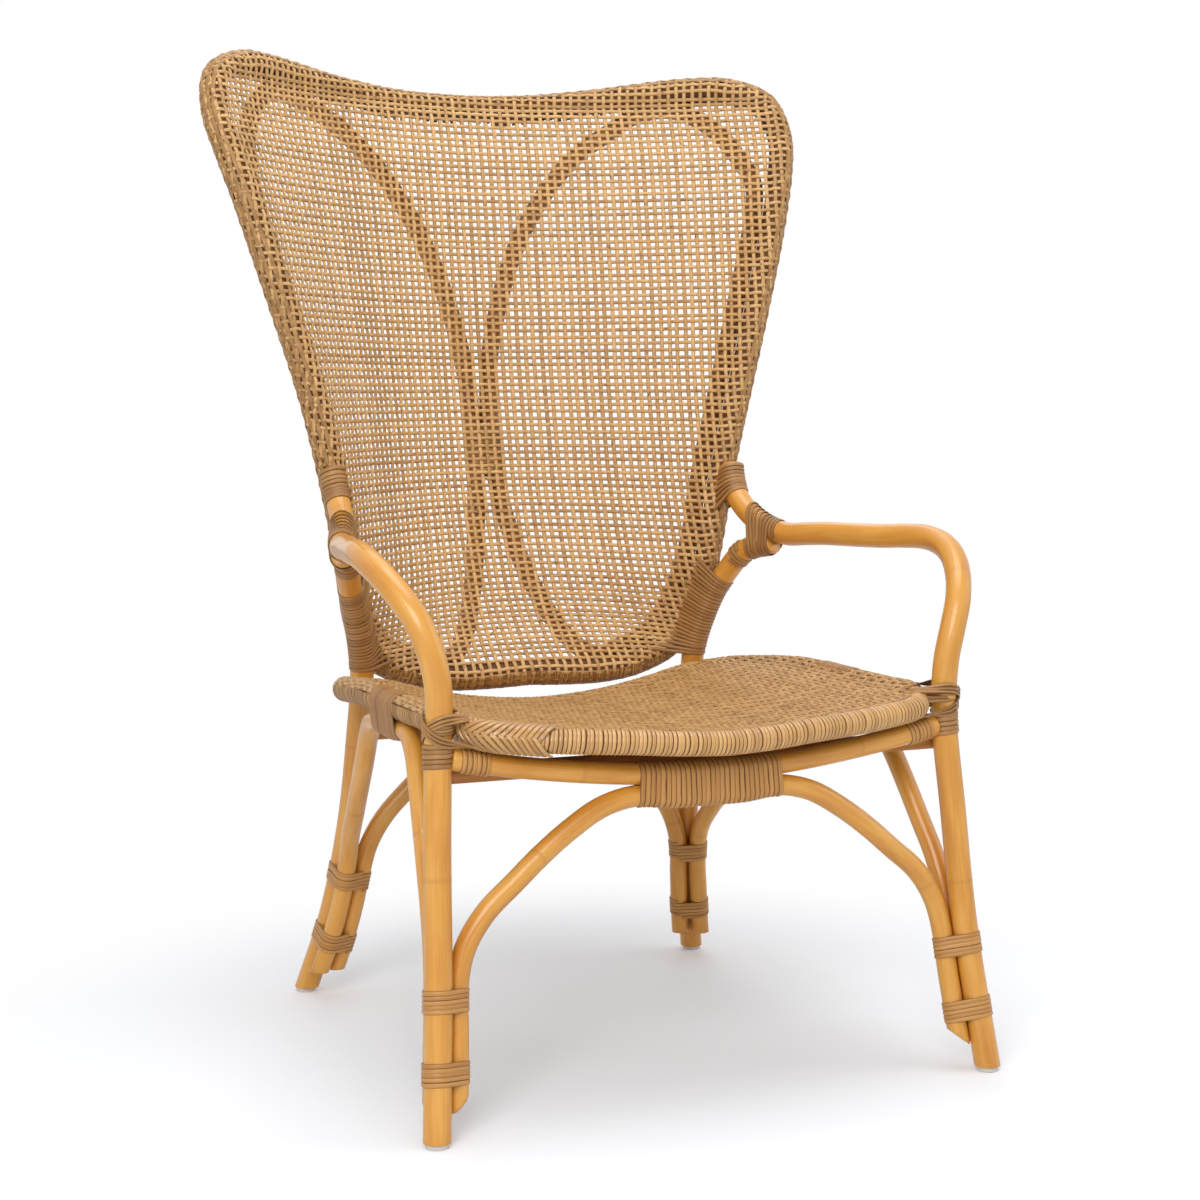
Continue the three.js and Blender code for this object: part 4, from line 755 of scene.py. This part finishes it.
# Places and outward directions on the woven skin, and how far inside the hoop's middle line each lies
def onSkin(a, b):
    flat = np.column_stack([a, b])
    near = np.argmin(((flat[:, None, :] - hoopFlat[None]) ** 2).sum(axis=2), axis=1)
    offset = flat - hoopFlat[near]
    inside = -(offset * flatOut[near]).sum(axis=1)
    slide = (offset * flatRun[near]).sum(axis=1)[:, None]
    z = np.interp(b, middleRun, heights)
    x = a.copy()
    for _ in range(6):
        bow = np.maximum(2 * barrel(z)[1], 1e-4)
        x = x - (sideways(x, z) - a) / np.sqrt(1 + (bow * x) ** 2)
    normal = backNormal(x, z)
    skin = np.column_stack([x, backY(x, z), z]) + normal * tubeRadius
    turn = (np.clip(-inside, 0, math.pi * tubeRadius) / tubeRadius)[:, None]
    behind = np.maximum(-inside - math.pi * tubeRadius, 0)[:, None]
    radial = np.cos(turn) * hoopFront[near] + np.sin(turn) * hoopOut[near]
    onHoop = hoopLoop[near] + hoopRun[near] * slide
    tube = onHoop + radial * tubeRadius - hoopOut[near] * behind
    beforeHoop = onHoop + hoopFront[near] * tubeRadius - hoopOut[near] * np.maximum(inside, 0)[:, None]
    share = eased(inside / backForm["blend"])[:, None]
    place = np.where(inside[:, None] < 0, tube, beforeHoop * (1 - share) + skin * share)
    facing = np.where(inside[:, None] < 0, radial, unit(hoopFront[near] * (1 - share) + normal * share))
    return place, facing, inside


# Starts and ends of the kept runs of a strand, without those of three places or fewer
def keptRuns(kept):
    edges = np.flatnonzero(np.diff(np.concatenate([[0], kept.astype(int), [0]])))
    return [(start, stop) for start, stop in zip(edges[::2], edges[1::2]) if stop - start > 3]


def backStrands(across):   # columns where across is 0, rows where it is 1
    pitch, step = backForm["pitches"][across], backForm["pitches"][1 - across]
    wrap = backForm["wraps"][across]
    lows, highs = hoopFlat.min(axis=0) - wrap, hoopFlat.max(axis=0) + wrap
    halfSteps = np.arange(2 * int(lows[1 - across] // step), 2 * (int(highs[1 - across] // step) + 1) + 1)
    along = halfSteps * step / 2
    strands = []
    for index in range(int(lows[across] // pitch), int(highs[across] // pitch) + 1):
        sway = noise.normal(0, backForm["jitter"]) + np.interp(along, np.linspace(along[0], along[-1], 12),
                                                                noise.normal(0, backForm["jitter"], 12))
        beside = index * pitch + sway
        place, facing, inside = onSkin(*((along, beside) if across else (beside, along)))
        over = np.where((halfSteps // 2 + index) % 2 == 0, 1.0, -1.0) * (halfSteps % 2 == 0) * (-1 if across else 1)
        place = place + facing * (over * backForm["thickness"] * 0.5)[:, None]
        tone = noise.uniform(0.25, 0.8)
        for start, stop in keptRuns(inside > -wrap):
            tones = np.clip(tone + noise.normal(0, 0.08, stop - start), 0, 1)
            strands.append((place[start:stop], facing[start:stop], backForm["widths"][across],
                            backForm["thickness"], tones))
    return strands


for across, lines in enumerate(("columns", "rows")):
    strandPiece(f"back_weave_{lines}", backStrands(across), wovenCore, ["back_weave"], lift=-0.5)


# Short strands overcast round the outer side of a hoop, from its front or upper side by angles in degrees
def overcast(name, loop, front, out, kept, form):
    run = pathRun(closedLoop(loop))
    angles = np.radians(np.linspace(*form["angles"], 10))
    strands = []
    for length in np.arange(0, run[-1], form["pitch"]):
        index = int(np.searchsorted(run, length, side="right")) - 1
        if kept[index]:
            share = (length - run[index]) / (run[index + 1] - run[index])
            after = (index + 1) % len(loop)
            centre, ahead, outwards = (values[index] * (1 - share) + values[after] * share
                                       for values in (loop, front, out))
            sway = noise.normal(0, form["sway"]) * unit(np.cross(ahead, outwards))
            facing = np.cos(angles)[:, None] * ahead + np.sin(angles)[:, None] * outwards
            strands.append((centre + sway + facing * form["radius"], facing, form["width"], form["thickness"],
                            np.full(10, noise.uniform(0.1, 0.9))))
    strandPiece(name, strands, edgeCorePaintedShade, [], profile=flatStrand)


backOvercast = {"below": 0.43, "radius": tubeRadius + 0.0006, "angles": (26, 215), "pitch": 0.0026, "width": 0.0025,
                "thickness": 0.0011, "sway": 0.0003}
overcast("back_edge_overcast", hoopLoop, hoopFront, hoopOut, hoopLoop[:, 2] < backOvercast["below"], backOvercast)

# Long strands along the hoop's outer side, in and out of the ends that wrap round it
edgeForm = {"angles": (58, 84, 110, 136, 162, 187, 211, 234), "step": 0.00425, "sway": 0.05, "standOff": 0.0006,
            "weave": 0.0006, "width": 0.0058, "thickness": 0.0016, "tone": 0.45}
edgeStrands = []
loopRun = pathRun(closedLoop(hoopLoop))
lengths = np.arange(0, loopRun[-1], edgeForm["step"])
centre, ahead, outwards = (pointOn(closedLoop(values), loopRun, lengths) for values in (hoopLoop, hoopFront, hoopOut))
for strand, angle in enumerate(np.radians(edgeForm["angles"])):
    wander = np.interp(lengths, np.linspace(0, loopRun[-1], 60), noise.normal(0, 1, 60))
    sway = angle + edgeForm["sway"] * wander[:, None]
    facing = unit(np.cos(sway) * ahead + np.sin(sway) * outwards)
    over = np.array([1, 0, -1, 0])[(np.arange(len(lengths)) + 2 * strand) % 4]
    places = centre + facing * (tubeRadius + edgeForm["standOff"] + edgeForm["weave"] * over)[:, None]
    tones = np.clip(edgeForm["tone"] + noise.normal(0, 0.12, len(lengths)), 0, 1)
    edgeStrands.append((places, facing, edgeForm["width"], edgeForm["thickness"], tones))
strandPiece("back_edge_strands", edgeStrands, edgeCorePaintedShade, [], lift=-0.5)
print("back woven")


# Seat: rim bound in front, close twill weave drawn over the rim at the sides and the rear
seatForm = {"middleZ": 0.3458, "rimLift": 0.0112, "pitch": 0.0055, "width": 0.0053, "thickness": 0.0016,
            "jitter": 0.0002, "frontEdge": 0.005, "sideEdge": -0.017, "tube": 0.0125, "blend": 0.016}
rimLoop = rolledHoop(paths["seat_hoop"], lambda loop: loop[:, 1])
rimMiddle = np.array([0, (rimLoop[:, 1].min() + rimLoop[:, 1].max()) / 2])
rimRun = ringRun(rimLoop)
rimOut = unit(np.column_stack([rimRun[:, 1], -rimRun[:, 0], np.zeros(len(rimLoop))]))
rimOut *= np.sign((rimLoop[0, :2] - rimMiddle) @ rimOut[0, :2])
rimUp = np.cross(rimOut, rimRun)
rimUp *= np.sign(rimUp[0, 2])
bearing = np.arctan2(rimLoop[:, 1] - rimMiddle[1], rimLoop[:, 0])
order = np.argsort(bearing)
rimReach = np.linalg.norm(rimLoop[:, :2] - rimMiddle, axis=1)
legPlace = placeWhere(paths["front_pole_right"], 2, seatTie["height"])
boundSteps = int(np.argmin(np.linalg.norm(rimLoop - legPlace, axis=1)))   # from the front's middle to the leg
inFront = np.zeros(len(rimLoop), dtype=bool)
inFront[:boundSteps + 1] = inFront[-boundSteps:] = True


def onSeat(x, y):   # height of the dished deck
    away = np.column_stack([x, y]) - rimMiddle
    angle = np.arctan2(away[:, 1], away[:, 0])
    reach, z = (np.interp(angle, bearing[order], values[order], period=2 * math.pi)
                for values in (rimReach, rimLoop[:, 2]))
    share = np.linalg.norm(away, axis=1) / reach
    return seatForm["middleZ"] + (z + seatForm["rimLift"] - seatForm["middleZ"]) * share ** 2


# Places and outward directions on the deck and over the rim's tube, and which of them are kept
def onDeck(x, y):
    flat = np.column_stack([x, y])
    near = np.argmin(((flat[:, None, :] - rimLoop[None, :, :2]) ** 2).sum(axis=2), axis=1)
    offset = flat - rimLoop[near, :2]
    inside = -(offset * rimOut[near, :2]).sum(axis=1)
    slide = (offset * rimRun[near, :2]).sum(axis=1)[:, None]
    turn = (np.maximum(-inside, 0) / seatForm["tube"])[:, None]
    radial = np.cos(turn) * rimUp[near] + np.sin(turn) * rimOut[near]
    onTube = (rimLoop[near] + rimRun[near] * slide + radial * seatForm["tube"]
              - rimOut[near] * np.maximum(inside, 0)[:, None])
    probe = 0.004
    slopeX = (onSeat(x + probe, y) - onSeat(x - probe, y)) / (2 * probe)
    slopeY = (onSeat(x, y + probe) - onSeat(x, y - probe)) / (2 * probe)
    deckFacing = unit(np.column_stack([-slopeX, -slopeY, np.ones(len(x))]))
    share = eased(inside / seatForm["blend"])[:, None]
    place = onTube * (1 - share) + np.column_stack([x, y, onSeat(x, y)]) * share
    facing = unit(radial * (1 - share) + deckFacing * share)
    return place, facing, inside > np.where(inFront[near], seatForm["frontEdge"], seatForm["sideEdge"])


def seatStrands(across):   # columns where across is 0, rows where it is 1
    pitch = seatForm["pitch"]
    lows, highs = rimLoop[:, :2].min(axis=0) - 0.02, rimLoop[:, :2].max(axis=0) + 0.02
    steps = np.arange(int(lows[1 - across] // pitch), int(highs[1 - across] // pitch) + 1)
    along = steps * pitch
    strands = []
    for index in range(int(lows[across] // pitch), int(highs[across] // pitch) + 1):
        beside = np.full(len(along), index * pitch + noise.normal(0, seatForm["jitter"]))
        place, facing, kept = onDeck(*((along, beside) if across else (beside, along)))
        over = np.where((steps + index) % 4 < 2, 1.0, -1.0) * (-1 if across else 1)
        place = place + facing * (over * seatForm["thickness"] * 0.5)[:, None]
        tone = noise.uniform(0.3, 0.75)
        for start, stop in keptRuns(kept):
            # Tone rises where the strand rides over and falls where it dips under: painted light and shade
            tones = np.clip(tone + 0.2 * over[start:stop] + noise.normal(0, 0.1, stop - start), 0, 1)
            strands.append((place[start:stop], facing[start:stop], seatForm["width"], seatForm["thickness"], tones))
    return strands


for across, lines in enumerate(("columns", "rows")):
    strandPiece(f"seat_weave_{lines}", seatStrands(across), seatCore, ["seat_weave"], profile=flatStrand,
                lift=-0.5)

rimForm = {"pole": 0.0110, "radius": 0.0113, "pitch": 0.0043, "thickness": 0.0013, "pastLeg": 0.016, "perTurn": 20}
# The rim's own pole, under the binding and the deck, takes the hoops' dark colour of painted shade
bentPole("seat_rim_pole", closedLoop(rimLoop), rimForm["pole"], paintedShadeRattan, ["seat_hoop"], closed=True)
seatOvercast = {"radius": seatForm["tube"] + 0.0006, "angles": (68, 205), "pitch": 0.0029, "width": 0.0028,
                "thickness": 0.0012, "sway": 0.0003}
overcast("seat_side_overcast", rimLoop, rimUp, rimOut, ~inFront, seatOvercast)


# Places round the rim by length from the front's middle and by angle from outwards to upwards
def onRim(lengths, angles, radius):
    first = len(rimLoop) - len(rimLoop) // 2
    rolled = [np.roll(values, first, axis=0) for values in (rimLoop, rimOut, rimUp)]
    run = pathRun(rolled[0])
    centre, out, up = (pointOn(values, run - run[first], lengths) for values in rolled)
    facing = unit(out * np.cos(angles)[:, None] + up * np.sin(angles)[:, None])
    return centre + facing * np.reshape(radius, (-1, 1)), facing


# The rim's binding, one strand from just past one leg to just past the other
boundReach = pathRun(rimLoop)[boundSteps] + rimForm["pastLeg"]
turns = int(2 * boundReach / rimForm["pitch"])
perTurn = rimForm["perTurn"]
steps = np.arange(turns * perTurn)
wobble = np.repeat(noise.normal(0, 0.0003, turns), perTurn) * np.sin(math.pi * (steps % perTurn) / perTurn)
tones = np.repeat(noise.uniform(0.3, 0.72, turns), perTurn)
places, facing = onRim(np.linspace(-boundReach, boundReach, len(steps)) + wobble,
                       2 * math.pi * steps / perTurn - 2.4, rimForm["radius"])
strandPiece("seat_rim_strands", [(places, facing, rimForm["pitch"] * 0.96, rimForm["thickness"], tones)], rimCane,
            ["seat_hoop"])

# Braid over the rim's left end: strands slant one way above and the other way below
braid = {"length": 0.078, "pitch": 0.0061, "inset": 0.028, "slant": 0.012, "width": 0.0048, "thickness": 0.0012,
         "layer": 0.0009}
braidStrands = []
angles = np.linspace(-1.35, 1.75, 16)
for way in (1, -1):
    for step in range(int(braid["length"] / braid["pitch"])):
        lengths = -boundReach + braid["inset"] + step * braid["pitch"] + way * braid["slant"] * angles
        level = braid["layer"] * (1.2 + way * np.tanh((angles - 0.25) / 0.2))   # over above, under below
        places, facing = onRim(lengths, angles, rimForm["radius"] + rimForm["thickness"] + level)
        braidStrands.append((places, facing, braid["width"], braid["thickness"], np.full(16, noise.uniform(0.1, 0.5))))
strandPiece("seat_rim_braid", braidStrands, rimCane, [], profile=flatStrand)
print("seat woven")


# Glides: moulded polyethylene buttons nailed under the feet, an even dull grey with soft edges
glideForm = {"sides": 40, "taller": 0.0018, "rounding": 0.0012}
greyPlastic, plasticSurface = newMaterial("pale_grey_moulded_plastic", 0.5, 1.46)
plasticSurface.inputs["Base Color"].default_value = linearColour("#D6D2CB")
for corner in ("front_right", "front_left", "rear_right", "rear_left"):
    low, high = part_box(f"glide_{corner}")
    width, depth, tall = (high[axis] - low[axis] for axis in range(3))
    tall += glideForm["taller"]
    bpy.ops.mesh.primitive_cylinder_add(vertices=glideForm["sides"], radius=min(width, depth) / 2, depth=tall,
                                        location=((low[0] + high[0]) / 2, (low[1] + high[1]) / 2, low[2] + tall / 2))
    glide = bpy.context.object
    bpy.ops.object.transform_apply(location=True, rotation=True, scale=True)
    rounding = glide.modifiers.new("rounding", "BEVEL")
    rounding.width = glideForm["rounding"]
    rounding.segments = 3
    bpy.ops.object.modifier_apply(modifier="rounding")
    dress(glide, f"glide_{corner}_button", greyPlastic, [f"glide_{corner}"])
print("glides set")


def faceTowards(thing, place):
    thing.rotation_euler = (Vector(place) - thing.location).to_track_quat("-Z", "Y").to_euler()


# The photo's view
view = {"place": (-1.025, -2.377, 0.716), "aim": (-0.133, -0.366, 0.510), "lens": 69.385, "sensor": 36}
camera = bpy.data.objects.new("camera", bpy.data.cameras.new("camera"))
bpy.context.collection.objects.link(camera)
camera.location = view["place"]
faceTowards(camera, view["aim"])
camera.data.lens = view["lens"]
camera.data.sensor_width = view["sensor"]
bpy.context.scene.camera = camera

# White floor, flat paint without any gloss, that melts into the white room away from the chair
studio = {"worldLight": 0.55, "floorPaint": "#EDF0F5", "floorGlow": 0.14, "whiteFrom": 0.42, "whiteTo": 0.85}
bpy.ops.mesh.primitive_plane_add(size=30, location=(0, -0.09, 0))
floor = bpy.context.object
floor.name = "floor"
floorPaint, paint = newMaterial("white_studio_floor", 0.9, 1.45)
paint.inputs["Base Color"].default_value = linearColour(studio["floorPaint"])
paint.inputs["Specular IOR Level"].default_value = 0.0
floorRays = addNode(floorPaint, "LightPath")
floorPlace = addNode(floorPaint, "TexCoord")
away = addNode(floorPaint, "VectorMath", {"operation": "LENGTH"}, {0: floorPlace.outputs["Object"]})
fade = addNode(floorPaint, "MapRange", {"interpolation_type": "SMOOTHSTEP", "From Min": studio["whiteFrom"],
                                                  "From Max": studio["whiteTo"]}, {"Value": away.outputs["Value"]})
seen = addNode(floorPaint, "Math", {"operation": "MULTIPLY"},
               {0: floorRays.outputs["Is Camera Ray"], 1: fade.outputs[0]})
white = addNode(floorPaint, "Emission", {"Strength": 1.0})
glow = addNode(floorPaint, "Math", {"operation": "MULTIPLY", 1: studio["floorGlow"]},
               {0: floorRays.outputs["Is Camera Ray"]})
faint = addNode(floorPaint, "Emission", links={"Strength": glow.outputs[0]})
near = addNode(floorPaint, "AddShader", links={0: paint.outputs[0], 1: faint.outputs[0]})
both = addNode(floorPaint, "MixShader", links={0: seen.outputs[0], 1: near.outputs[0], 2: white.outputs[0]})
floorPaint.node_tree.links.new(both.outputs[0], floorPaint.node_tree.nodes["Material Output"].inputs["Surface"])
floor.data.materials.append(floorPaint)

# White room: it lights the chair softly, and shows in full to the camera and in the lacquer
bpy.context.scene.view_settings.view_transform = "Standard"
world = bpy.data.worlds.new("studio")
world.use_nodes = True
bpy.context.scene.world = world
room = world.node_tree.nodes["Background"]
room.inputs["Color"].default_value = (1, 1, 1, 1)
worldRays = addNode(world, "LightPath")
mirrored = addNode(world, "Math", {"operation": "MAXIMUM"},
                   {0: worldRays.outputs["Is Glossy Ray"], 1: worldRays.outputs["Is Transmission Ray"]})
direct = addNode(world, "Math", {"operation": "MAXIMUM"},
                 {0: mirrored.outputs[0], 1: worldRays.outputs["Is Camera Ray"]})
strength = addNode(world, "MapRange", {"To Min": studio["worldLight"], "To Max": 1.0},
                   {"Value": direct.outputs[0]})
world.node_tree.links.new(strength.outputs[0], room.inputs["Strength"])

# Soft lamps: place, side length and power in watts
lamps = {
    "key": ((-1.6, -2.5, 2.0), 1.6, 48), "top": ((0.1, -0.2, 2.9), 1.6, 24),
    "side": ((2.4, -1.0, 1.6), 1.6, 8), "rear": ((0.6, 2.2, 2.6), 1.8, 10),
}
for name, (place, size, power) in lamps.items():
    lamp = bpy.data.objects.new(name, bpy.data.lights.new(name, "AREA"))
    lamp.data.size = size
    lamp.data.energy = power
    lamp.location = place
    faceTowards(lamp, (0, 0, 0.5))
    bpy.context.collection.objects.link(lamp)
print("camera, floor and light set")
